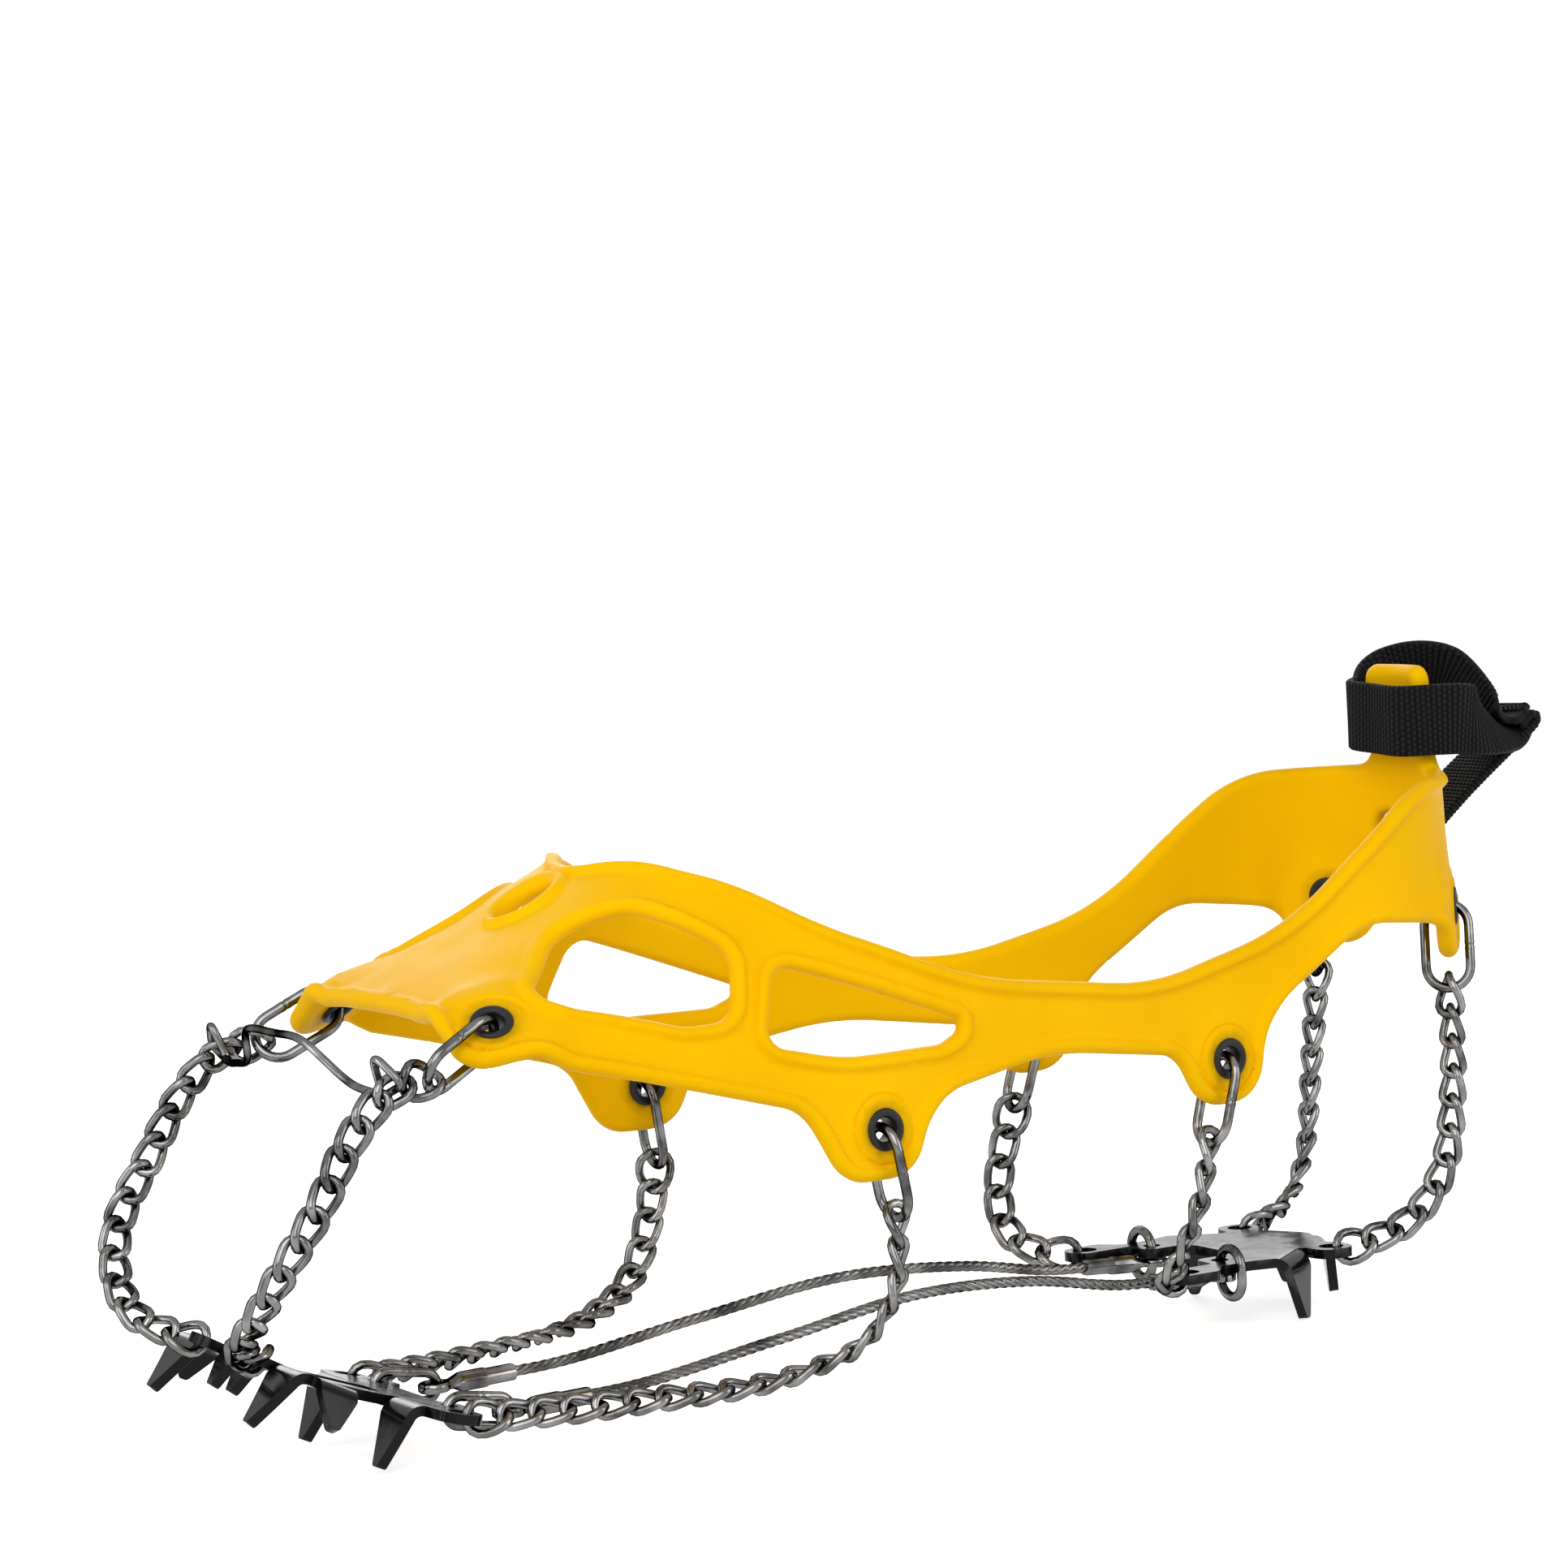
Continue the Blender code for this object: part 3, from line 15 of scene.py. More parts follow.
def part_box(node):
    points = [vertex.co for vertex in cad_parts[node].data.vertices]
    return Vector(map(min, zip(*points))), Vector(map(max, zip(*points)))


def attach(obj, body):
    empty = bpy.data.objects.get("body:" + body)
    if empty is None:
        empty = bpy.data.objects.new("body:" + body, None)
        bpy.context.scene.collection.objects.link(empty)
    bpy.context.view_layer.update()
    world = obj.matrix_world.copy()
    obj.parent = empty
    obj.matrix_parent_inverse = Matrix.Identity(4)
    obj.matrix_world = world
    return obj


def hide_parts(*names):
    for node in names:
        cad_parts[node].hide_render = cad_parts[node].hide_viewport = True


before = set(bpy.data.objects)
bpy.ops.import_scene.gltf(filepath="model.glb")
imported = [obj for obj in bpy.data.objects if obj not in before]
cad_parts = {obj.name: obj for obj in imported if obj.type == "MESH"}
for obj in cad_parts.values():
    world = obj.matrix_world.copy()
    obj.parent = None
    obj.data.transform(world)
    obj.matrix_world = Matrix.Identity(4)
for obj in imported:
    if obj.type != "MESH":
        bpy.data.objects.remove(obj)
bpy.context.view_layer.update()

MM = 0.001
ROOT = "harness_and_plates"
LEFT, RIGHT = 1.0, -1.0
HANDS = ((LEFT, "left"), (RIGHT, "right"))

# Camera, read from the photograph
photo_size = 1932.0
focal_pixels = 6000.0
camera_eye = (478.9, 831.9, 191.0)
camera_yaw = math.radians(29.8)
camera_pitch = math.radians(4.3)
camera_roll = math.radians(-3.2)

# Light and floor, in metres: each lamp's name, place, power and size
world_light = 0.38
floor_lift = 0.66
floor_reach = 6.0
floor_drop = 0.0004
lamp_aim = (0.0, 0.0, 0.05)
lamps = (
    ("key", (0.62, 0.80, 0.78), 8.4, (1.0, 1.0)),
    ("fill", (-0.75, 0.85, 0.45), 3.3, (0.5, 0.75)),
    ("front", (0.95, -0.1, 0.35), 2.3, (0.4, 0.7)),
    ("rear", (-0.45, -0.95, 0.55), 4.4, (0.8, 0.6)),
)

# Form of the harness: station, half width, crown height over the base, roundness
form_base_z = 40.0
form_stations = (
    (-113.0, 35.0, 200.0, 2.6),
    (-75.0, 36.5, 150.0, 2.5),
    (-30.0, 43.0, 112.0, 2.4),
    (13.0, 48.5, 86.0, 2.4),
    (52.0, 50.0, 66.5, 2.5),
    (70.0, 49.5, 57.0, 2.8),
    (89.0, 47.0, 48.5, 3.4),
    (112.0, 42.0, 38.0, 3.6),
)
form_heel_depth = 39.5

# Harness
panel_thickness = 2.8
rim_height = 1.3
rim_blend = 1.4
front_edge_run = 95.7
instep_edge_run = 51.0
tab_half_width = 10.5
tab_flare = 1.0
tab_top_girth = 91.5
heel_arch_girth = 43.0
heel_slot_low = 50.0
heel_slot_height = 9.5
heel_slot_half_width = 10.0
instep_slot_front = 67.0
instep_slot_rear = 56.0
instep_slot_half_width = 5.0
instep_slot_steps = 18
eyelets = {"front": (87.0, 46.6), "mid": (12.7, 16.1), "heel": (-75.0, 18.6), "rear": (-147.5, 41.5)}
boss_height = 0.7
boss_radius = 9.2
boss_fall = 2.0
boss_blend = 0.8
boss_flat_radius = 5.2
boss_lip = (5.85, 0.6, 0.35)
boss_groove = (6.75, 0.42, 0.5)
groove_start = 0.8
groove_blend = 1.2
tab_flat_radius = 10.5
tab_flat_blend = 6.0

# Harness mesh: steps along its edges, rows beside them, and the room kept between its points
edge_step = 1.9
arc_step = 1.3
seam_step = 1.6
grid_step = 4.2
grid_row_share = 0.87
rim_rows = (0.22, 0.7, 1.35, 2.05, 2.5, 2.95, 3.45, 4.3)
boss_rows = (4.1, 5.0, 5.85, 6.3, 6.75, 7.2, 7.65, 8.4)
hole_points = 28
seam_room = 0.9
edge_room = 0.16
point_room = 0.43
row_play = (0.04, 0.01)

# Grommets and gaps
grommet_hole_radius = 2.3
grommet_barrel_radius = 2.9
grommet_flange_radius = 4.1
grommet_flange_thickness = 0.6
seat_gap = 0.3
ear_gap = 0.5
ring_gap = 0.8

# Wire goods
ring_length = 20.0
ring_width = 11.4
ring_wire = 2.2
round_trim = 0.1
weld_swell = 0.05
weld_reach = 1.1
weld_groove = 0.13
weld_gap = 0.2
chain_wire = 1.8
chain_pitch = 6.2
link_width = 6.6
link_twist = math.radians(72.0)
link_touch = 0.02
end_link_scale = 1.5 * 0.9
cable_offset = 16.0
heel_cable_offset = 12.4
cable_diameter = 2.0
cable_strands = 6
cable_lay = 13.0
cable_lead = 6.0
cable_bite = 0.4
cable_step = 0.55
strand_depth = 0.42
strand_middle = 0.7
terminal_diameter = 4.0
terminal_length = 12.0
terminal_eye_length = 8.6
terminal_eye_thickness = 1.8
terminal_eye_width = 6.4
terminal_flats = 0.035
cable_link_wire = 2.0
cable_link_length = 15.6
cable_link_width = 7.6
heel_link_height = 12.0
heel_link_width = 9.6
bail_wire = 1.6
bail_eye_base = 9.2
bail_eye_height = 8.0
bail_eye_gap = 3.2
bail_bends = (2.2, 2.8, 3.6)
bail_shift = 0.1
bail_crown = (115.0, 82.0)

# Fineness of the round pieces: sides of a wire and steps round a turned piece
ring_sides = 16
ring_arc_steps = 14
link_sides = 10
rope_sides = 30
bail_sides = 14
thread_sides = 7
grommet_steps = 40
eye_steps = 48
sleeve_steps = 24

# Plates
plate_thickness = 2.0
plate_edge = 0.32
plate_arc_step = 0.55
plate_step = 2.2
plate_grid_step = 2.4
bend_radius = 2.6
bend_steps = 6
bend_draw = 0.04
spike_length = 12.6
spike_base = 11.0
spike_tip = 2.6
small_spike_length = 7.6
small_spike_base = 6.4
side_spike_length = 9.0
side_spike_base = 8.0
ear_hole_radius = 2.6
ear_hole_points = 28
link_hole_radius = 1.85
link_hole_points = 24
front_plate_x = 88.0
front_plate_z = 8.6
front_plate_slope = math.radians(11.0)
front_plate_roll_radius = 125.0
front_bar_run = 3.0
front_wing_run = 29.5
front_edge_line = 39.0
front_wing_half_width = 29.5
front_rail_half_width = 10.2
front_window_half_width = 5.2
rear_wing_run = 11.5
rear_wing_half_width = 22.4
heel_plate_x = -119.0
heel_plate_z = 12.2
heel_arm_end = 48.5
heel_arm_inner = 15.0
heel_arm_outer = 22.6
heel_waist_inner = 8.4
heel_waist_outer = 18.4
heel_waist_run = 31.6
heel_waist_half_length = 3.6
heel_bay_run = 25.0
front_chain_ear = (front_edge_line + 2.2, 12.4)
mid_chain_ear = (5.6, 25.0)
front_cable_hole = (3.4, cable_offset)
heel_chain_ear = (heel_arm_end - 4.2, (heel_arm_inner + heel_arm_outer) / 2.0)
rear_chain_ear = (6.2, 16.4)
heel_cable_hole = (heel_waist_run, heel_cable_offset)

# Pull strap
strap_width = 15.0
strap_thickness = 1.8
strap_slack = 1.1
strap_inner_slack = 4.6
strap_slot_lift = 1.0
strap_neck_girth = 80.0
fold_station = 4
rib_pitch = 1.05
rib_rise = 0.26
rib_sink = 0.16
yarn_pitch = 1.25
tack_rows = (2.4, 5.2)
tack_half_width = 6.0
tack_swing = 0.8
tack_turns = 20
thread_diameter = 0.42

# The part of a noise's range over which a material's colour and roughness change
noise_band = (0.3, 0.7)

chain_routes = {
    "front": ((104.0, 40.5, 78.0), (109.5, 39.0, 74.5), (118.0, 39.5, 67.0), (125.5, 40.0, 55.0),
              (132.5, 39.0, 45.0), (136.5, 33.0, 35.0), (136.5, 24.0, 28.0)),
    "mid": ((10.1, 50.5, 39.2), (12.5, 49.5, 26.0), (18.5, 47.0, 16.0), (28.0, 43.0, 11.8),
            (62.0, 33.0, 9.0)),
    "heel": ((-70.0, 38.5, 42.0), (-66.5, 37.0, 31.0), (-63.5, 33.5, 20.0), (-64.5, 26.0, 14.0)),
    "rear": ((-142.5, 25.0, 63.0), (-139.5, 25.0, 42.0), (-136.0, 24.0, 25.0), (-130.0, 21.5, 17.0)),
}

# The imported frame's shift, from a plate whose front end and top face are known
plate_high = np.array(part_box("heel_plate")[1]) / MM
frame_shift = np.array([plate_high[0] - heel_plate_x - heel_arm_end, 0.0,
                        plate_high[2] - heel_plate_z - plate_thickness / 2.0])


# Small mathematics

def unit(vector):
    vector = np.asarray(vector, dtype=float)
    return vector / np.linalg.norm(vector)


def square_to(vector, axis):
    """The part of a vector that is square to an axis, as a unit vector."""
    return unit(vector - axis * np.dot(vector, axis))


def rotate(vector, axis, angle):
    level = vector * math.cos(angle) + np.cross(axis, vector) * math.sin(angle)
    return level + axis * np.dot(axis, vector) * (1.0 - math.cos(angle))


def ease(value):
    value = np.clip(value, 0.0, 1.0)
    return value * value * (3.0 - 2.0 * value)


def turns(count):
    """Even angles round a circle."""
    return 2.0 * math.pi * np.arange(count) / count


def run_lengths(points):
    """Length along a line of points, at each of them."""
    return np.concatenate([[0.0], np.cumsum(np.linalg.norm(np.diff(points, axis=0), axis=1))])


def smooth_value(stations, values, x):
    """Cubic Hermite curve through the given rows of values."""
    slopes = np.gradient(values, stations, axis=0)
    x = min(max(x, stations[0]), stations[-1])
    i = min(max(int(np.searchsorted(stations, x)) - 1, 0), len(stations) - 2)
    h = stations[i + 1] - stations[i]
    t = (x - stations[i]) / h
    return ((2 * t**3 - 3 * t**2 + 1) * values[i] + (t**3 - 2 * t**2 + t) * h * slopes[i]
            + (3 * t**2 - 2 * t**3) * values[i + 1] + (t**3 - t**2) * h * slopes[i + 1])


def smooth_route(points, step):
    points = np.asarray(points, dtype=float)
    knots = run_lengths(points)
    count = max(int(knots[-1] / step), 2) + 1
    return np.array([smooth_value(knots, points, s) for s in np.linspace(0.0, knots[-1], count)])


# Form

form_table = np.array(form_stations)
heel_centre_x, heel_half_width = form_table[0, :2]
heel_arc = (heel_half_width + form_heel_depth) / 2.0 * math.pi / 2.0
heel_back_run = heel_centre_x - heel_arc


def girth_curve(run):
    """Centre and outward direction of the form's section at a run, with its reach, height and length."""
    x = max(run, heel_centre_x)
    width, crown, roundness = smooth_value(form_table[:, 0], form_table[:, 1:], x)
    outward = np.array([0.0, 1.0, 0.0])
    if run < heel_centre_x:
        turn = math.pi / 2.0 * ((run - heel_back_run) / heel_arc)
        outward = np.array([-math.cos(turn) * form_heel_depth / heel_half_width, math.sin(turn), 0.0])
    theta = np.linspace(0.0, math.pi / 2.0, 120)
    reach = width * np.cos(theta) ** (2.0 / roundness)
    height = crown * np.sin(theta) ** (2.0 / roundness)
    reach[-1] = 0.0
    lengths = np.concatenate([[0.0], np.cumsum(np.hypot(np.diff(reach), np.diff(height)))])
    return np.array([x, 0.0, form_base_z]), outward, reach, height, lengths


def form_point(run, girth):
    centre, outward, reach, height, lengths = girth_curve(run)
    point = centre + outward * np.interp(girth, lengths, reach)
    point[2] += np.interp(girth, lengths, height)
    return point


def crown_girth(run):
    return girth_curve(run)[4][-1]


def form_chords(run, girth, reach):
    """Chords of the form about a point, along the run and up the girth."""
    along = form_point(run + reach, girth) - form_point(run - reach, girth)
    return along, form_point(run, girth + reach) - form_point(run, girth - reach)


def eyelet_frame(station):
    """Centre of an eyelet, its normal and the way down."""
    along, up = form_chords(*eyelets[station], 0.6)
    normal = unit(np.cross(up, along))
    return form_point(*eyelets[station]), normal, square_to(-form_chords(*eyelets[station], 1.0)[1], normal)


eyelet_frames = {station: eyelet_frame(station) for station in eyelets}


def eyelet_circle(station, radius):
    """A circle about an eyelet, in run and girth."""
    _, normal, down = eyelet_frames[station]
    slopes = np.array(form_chords(*eyelets[station], 1.0)) / 2.0
    solve = np.linalg.inv((slopes @ np.array([np.cross(down, normal), down]).T).T)
    return [np.array(eyelets[station]) + solve @ (radius * np.array([math.cos(a), math.sin(a)]))
            for a in turns(hole_points)]


# Outlines in a plane

def rounded_outline(corners, step):
    """An open outline from corners with radii, its arcs in steps."""
    points = [np.array(c[:2], dtype=float) for c in corners]
    result = [points[0]]
    for i in range(1, len(corners) - 1):
        back, ahead = points[i - 1] - points[i], points[i + 1] - points[i]
        half = math.acos(np.clip(np.dot(unit(back), unit(ahead)), -1.0, 1.0)) / 2.0
        longest = 0.49 * min(np.linalg.norm(back), np.linalg.norm(ahead))
        reach = min(corners[i][2] / math.tan(half), longest)
        radius = reach * math.tan(half)
        centre = points[i] + unit(unit(back) + unit(ahead)) * radius / math.sin(half)
        first, last = (math.atan2(*(points[i] + unit(way) * reach - centre)[::-1]) for way in (back, ahead))
        sweep = (last - first + math.pi) % (2.0 * math.pi) - math.pi
        steps = max(int(abs(sweep) * radius / step + 0.5), 2)
        for angle in first + sweep * np.arange(steps + 1) / steps:
            result.append(centre + radius * np.array([math.cos(angle), math.sin(angle)]))
    return [*result, points[-1]]


def closed_outline(corners, step):
    middle = tuple((a + b) / 2.0 for a, b in zip(corners[-1][:2], corners[0][:2]))
    return rounded_outline([(*middle, 0.0), *corners, (*middle, 0.0)], step)[:-1]


def resampled(points, step, closed):
    result = []
    for i in range(len(points) if closed else len(points) - 1):
        a, b = points[i], points[(i + 1) % len(points)]
        pieces = max(int(math.ceil(np.linalg.norm(b - a) / step - 0.2)), 1)
        result += [a + (b - a) * k / pieces for k in range(pieces)]
    return result if closed else [*result, points[-1]]


def outline_sides(loops, stretches=()):
    """Starts and ends of the sides of closed loops and open stretches."""
    starts = [np.asarray(loop) for loop in loops] + [np.asarray(line[:-1]) for line in stretches]
    ends = [np.roll(loop, -1, axis=0) for loop in loops] + [np.asarray(line[1:]) for line in stretches]
    return np.concatenate(starts), np.concatenate(ends)


def inside(points, loops):
    """For each point, whether it lies in the first loop and in none of the holes."""
    a, b = outline_sides(loops)
    rise = b[:, 1] - a[:, 1]
    rise = np.where(np.abs(rise) < 1e-12, 1e-12, rise)
    result = []
    for x, y in points:
        crosses = (a[:, 1] > y) != (b[:, 1] > y)
        at = a[:, 0] + (y - a[:, 1]) * (b[:, 0] - a[:, 0]) / rise
        result.append(np.count_nonzero(crosses & (x < at)) % 2 == 1)
    return np.array(result)


def edge_distance(points, loops, stretches=()):
    a, b = outline_sides(loops, stretches)
    d = b - a
    size = np.maximum(np.sum(d * d, axis=1), 1e-9)
    best = []
    for p in points:
        t = np.clip(np.sum((p - a) * d, axis=1) / size, 0.0, 1.0)
        best.append(np.min(np.sum((a + d * t[:, None] - p) ** 2, axis=1)))
    return np.sqrt(best)


def triangulate(loops, free_points):
    """Points and triangles of a panel with holes, and its sides: a side of two triangles is None."""
    points, edges = [], []
    for loop in loops:
        start = len(points)
        points += list(loop)
        edges += [(start + i, start + (i + 1) % len(loop)) for i in range(len(loop))]
    points += list(free_points)
    verts, _, faces, _, _, _ = delaunay_2d_cdt([tuple(p) for p in points], edges, [], 0, 1e-4)
    verts = np.array([tuple(v) for v in verts])
    faces = np.array([tuple(f) for f in faces])
    keep = inside(verts[faces].mean(axis=1), loops)
    triangles = [tuple(int(i) for i in f) for f in faces[keep]]
    sides = {}
    for face in triangles:
        for pair in zip(face, face[1:] + face[:1]):
            sides[frozenset(pair)] = None if frozenset(pair) in sides else pair
    return verts, triangles, sides


# Meshes

def add_object(name, data):
    obj = bpy.data.objects.new(name, data)
    bpy.context.scene.collection.objects.link(obj)
    return obj


def add_piece(name, shape, finish, body, *nodes, hand=LEFT, sharp=None, uvs=None):
    """A smooth piece of millimetre points that rides on its body, in the place of its CAD nodes."""
    verts, faces = shape
    material, slot = finish
    points = (np.asarray(verts, dtype=float) * (1.0, hand, 1.0) + frame_shift) * MM
    mesh = bpy.data.meshes.new(name)
    mesh.from_pydata([tuple(p) for p in points], [], [tuple(f) for f in faces])
    mesh.update()
    if uvs is not None:
        layer = mesh.uv_layers.new(name="run")
        for loop in mesh.loops:
            layer.data[loop.index].uv = uvs[loop.vertex_index]
    shape = bmesh.new()
    shape.from_mesh(mesh)
    bmesh.ops.recalc_face_normals(shape, faces=shape.faces)
    shape.to_mesh(mesh)
    shape.free()
    mesh.shade_smooth()
    if sharp is not None:
        mesh.set_sharp_from_angle(angle=math.radians(sharp))
    mesh.materials.append(material)
    obj = add_object(name, mesh)
    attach(obj, body)
    if nodes:
        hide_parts(*nodes)
    return obj


def loft(rings, closed):
    verts = [p for ring in rings for p in ring]
    size = len(rings[0])
    faces = []
    for i in range(len(rings) if closed else len(rings) - 1):
        a, b = i * size, (i + 1) % len(rings) * size
        faces += [(a + k, a + (k + 1) % size, b + (k + 1) % size, b + k) for k in range(size)]
    if not closed:
        faces.append(tuple(range(size))[::-1])
        faces.append(tuple(range(len(verts) - size, len(verts))))
    return verts, faces


def wire(points, radii, sides, closed, centre=None, rope=False):
    """A round wire along points; strands that turn with the lay make it a rope."""
    count = len(points)
    radii = np.broadcast_to(radii, (count,))
    angles = turns(sides)
    swell = np.ones(sides)
    rings = []
    side = np.array([0.0, 0.0, 1.0])
    run = 0.0
    for i, point in enumerate(points):
        before = points[i - 1] if closed or i > 0 else point
        after = points[(i + 1) % count] if closed or i < count - 1 else point
        along = unit(after - before)
        side = square_to(side if centre is None else point - centre, along)
        if rope:
            run += np.linalg.norm(point - before)
            strands = np.abs(np.cos(cable_strands * (angles - 2.0 * math.pi * run / cable_lay) / 2.0))
            swell = 1.0 + strand_depth * (strands - strand_middle)
        out = np.outer(np.cos(angles), side) + np.outer(np.sin(angles), np.cross(along, side))
        rings.append(point + out * (radii[i] * swell)[:, None])
    return loft(rings, closed)


def joined(shapes):
    """One list of points and faces from several."""
    verts, faces = [], []
    for shape_verts, shape_faces in shapes:
        shift = len(verts)
        verts += list(shape_verts)
        faces += [tuple(i + shift for i in face) for face in shape_faces]
    return verts, faces


def oblong(length, width, arc_steps, side_steps):
    """Centre line of an oblong, long side along the first axis, with points along its straights."""
    radius = width / 2.0
    straight = length / 2.0 - radius
    angles = -math.pi / 2.0 + math.pi * np.arange(arc_steps + 1) / arc_steps
    points = [(straight + radius * math.cos(angle), radius * math.sin(angle)) for angle in angles]
    points += [(straight - 2.0 * straight * k / side_steps, radius) for k in range(1, side_steps)]
    return np.array(points + [(-a, -b) for a, b in points])


def welded_oblong(centre, long_axis, short_axis, length, width, radius, side_steps, hand):
    """An oblong of wire with the swell and groove of a butt weld in the middle of one straight side."""
    line = oblong(length, width, ring_arc_steps, side_steps)
    a, b = line.T
    seam = weld_swell * np.exp(-((a / weld_reach) ** 4)) - weld_groove * np.exp(-((a / weld_gap) ** 2))
    points = [centre + long_axis * a + short_axis * b for a, b in line]
    return wire(points, radius * (1.0 + seam * (b * hand > 0.0)), ring_sides, True, centre)


def turned(profile, centre, axis, first, count):
    """A closed profile of (radius, height) points revolved about an axis."""
    second = np.cross(axis, first)
    rings = []
    for angle in turns(count):
        out = first * math.cos(angle) + second * math.sin(angle)
        rings.append([centre + out * r + axis * h for r, h in profile])
    return loft(rings, True)


# Materials

def put(tree, socket, value):
    """Links a socket to another one, or sets its value."""
    if isinstance(value, bpy.types.NodeSocket):
        tree.links.new(value, socket)
    else:
        socket.default_value = value


def add_node(tree, kind, output, inputs):
    """One output of a new node, whose inputs are linked or set."""
    node = tree.nodes.new("ShaderNode" + kind)
    for name, value in inputs.items():
        put(tree, node.inputs[name], value)
    return node.outputs[output]


def noise(tree, coordinates, scale, detail):
    return add_node(tree, "TexNoise", "Fac", {"Vector": coordinates, "Scale": scale, "Detail": detail})


def map_range(tree, value, low, high, start=0.0, end=1.0):
    return add_node(tree, "MapRange", "Result", {"Value": value, "From Min": low, "From Max": high,
                                                 "To Min": start, "To Max": end})


def ramp(tree, value, low, high):
    """Colour between two by a value."""
    node = tree.nodes.new("ShaderNodeValToRGB")
    for element, place, colour in zip(node.color_ramp.elements, noise_band, (low, high)):
        element.position = place
        element.color = (*colour, 1.0)
    put(tree, node.inputs["Fac"], value)
    return node.outputs["Color"]


def bump(tree, height, strength, distance, under=None):
    inputs = {"Height": height, "Strength": strength, "Distance": distance}
    if under is not None:
        inputs["Normal"] = under
    return add_node(tree, "Bump", "Normal", inputs)


def math_node(tree, operation, first, second=0.5):
    node = tree.nodes.new("ShaderNodeMath")
    node.operation = operation
    put(tree, node.inputs[0], first)
    put(tree, node.inputs[1], second)
    return node.outputs["Value"]


def surface_value(tree, name):
    """How far the surface juts out, or one of its attributes."""
    if name == "Pointiness":
        return add_node(tree, "NewGeometry", name, {})
    node = tree.nodes.new("ShaderNodeAttribute")
    node.attribute_name = name
    return node.outputs["Fac"]


def new_material(name, values):
    """A material with plain values on its shader's sockets."""
    material = bpy.data.materials.new(name)
    material.use_nodes = True
    tree = material.node_tree
    shader = tree.nodes["Principled BSDF"]
    for socket, value in values.items():
        put(tree, shader.inputs[socket], value)
    return material, tree, shader.inputs


def noisy_finish(name, slot, colour, rough, reliefs, values, wear_and_shade=None):
    """A material and its slot, with noise in its colour, roughness and relief: scale, detail, two ends.

    Wear and painted shade lay a plain colour over the rest where a value of the surface goes from one number
    to another."""
    material, tree, sockets = new_material(name, values)
    space = add_node(tree, "TexCoord", "Object", {})
    shade = ramp(tree, noise(tree, space, *colour[:2]), *colour[2:])
    if wear_and_shade is not None:
        value, low, high, most, grain, tint = wear_and_shade
        mask = map_range(tree, surface_value(tree, value), low, high, 0.0, most)
        if grain is not None:
            mask = math_node(tree, "MULTIPLY", mask, noise(tree, space, *grain))
        node = tree.nodes.new("ShaderNodeMix")
        node.data_type = "RGBA"
        for i, source in ((0, mask), (6, shade), (7, (*tint, 1.0))):
            put(tree, node.inputs[i], source)
        shade = node.outputs[2]
    put(tree, sockets["Base Color"], shade)
    put(tree, sockets["Roughness"],
        map_range(tree, noise(tree, space, *rough[:2]), *noise_band, *rough[2:]))
    normal = None
    for relief in reliefs:
        normal = bump(tree, noise(tree, space, *relief[:2]), *relief[2:], normal)
    put(tree, sockets["Normal"], normal)
    return material, slot


def webbing_material():
    """Staggered beads of yarn in rows across the band, from its own run and width in millimetres."""
    material, tree, sockets = new_material(
        "webbing_black",
        {"Roughness": 0.72, "Specular IOR Level": 0.12, "Sheen Weight": 0.012, "Sheen Roughness": 0.5})

    def calc(operation, first, second=0.5):
        return math_node(tree, operation, first, second)

    def beads(value):
        return calc("ABSOLUTE", calc("SINE", calc("MULTIPLY", value, math.pi)))

    band = tree.nodes.new("ShaderNodeUVMap")
    band.uv_map = "run"
    band = band.outputs["UV"]
    run, wide = (add_node(tree, "SeparateXYZ", axis, {"Vector": band}) for axis in "XY")
    row = calc("DIVIDE", run, rib_pitch)
    odd = calc("MULTIPLY", calc("PINGPONG", calc("FLOOR", row), 1.0), 0.5)
    yarn = beads(calc("ADD", calc("DIVIDE", wide, yarn_pitch), odd))
    lifted = calc("MULTIPLY", beads(row), calc("ADD", calc("MULTIPLY", yarn, 0.7), 0.3))
    fuzz = noise(tree, band, 3.5, 4.0)
    # The colour is lighter on the raised yarn and darker between the rows: painted highlight and painted
    # shade of the weave, with random tone from the fuzz.
    shade = calc("ADD", calc("MULTIPLY", lifted, 0.5), calc("MULTIPLY", fuzz, 0.5))
    put(tree, sockets["Base Color"], ramp(tree, shade, (0.0004, 0.0004, 0.0004), (0.014, 0.014, 0.0146)))
    put(tree, sockets["Normal"], bump(tree, lifted, 1.0, 0.0006, bump(tree, fuzz, 0.35, 0.00015)))
    return material


# The elastomer darkens in a noisy ring just outside each grommet: painted contact shade, with some grime.
elastomer = noisy_finish(
    "harness_elastomer", "harness_elastomer", (24.0, 3.0, (0.860, 0.460, 0.0006), (0.930, 0.522, 0.0012)),
    (90.0, 4.0, 0.44, 0.56), [(60.0, 2.0, 0.10, 0.0006), (1500.0, 2.0, 0.10, 0.00012)],
    {"Specular IOR Level": 0.07, "Specular Tint": (1.0, 0.70, 0.08, 1.0)},
    ("eyelet", 6.6, 4.0, 0.96, (420.0, 3.0), (0.30, 0.17, 0.004)))
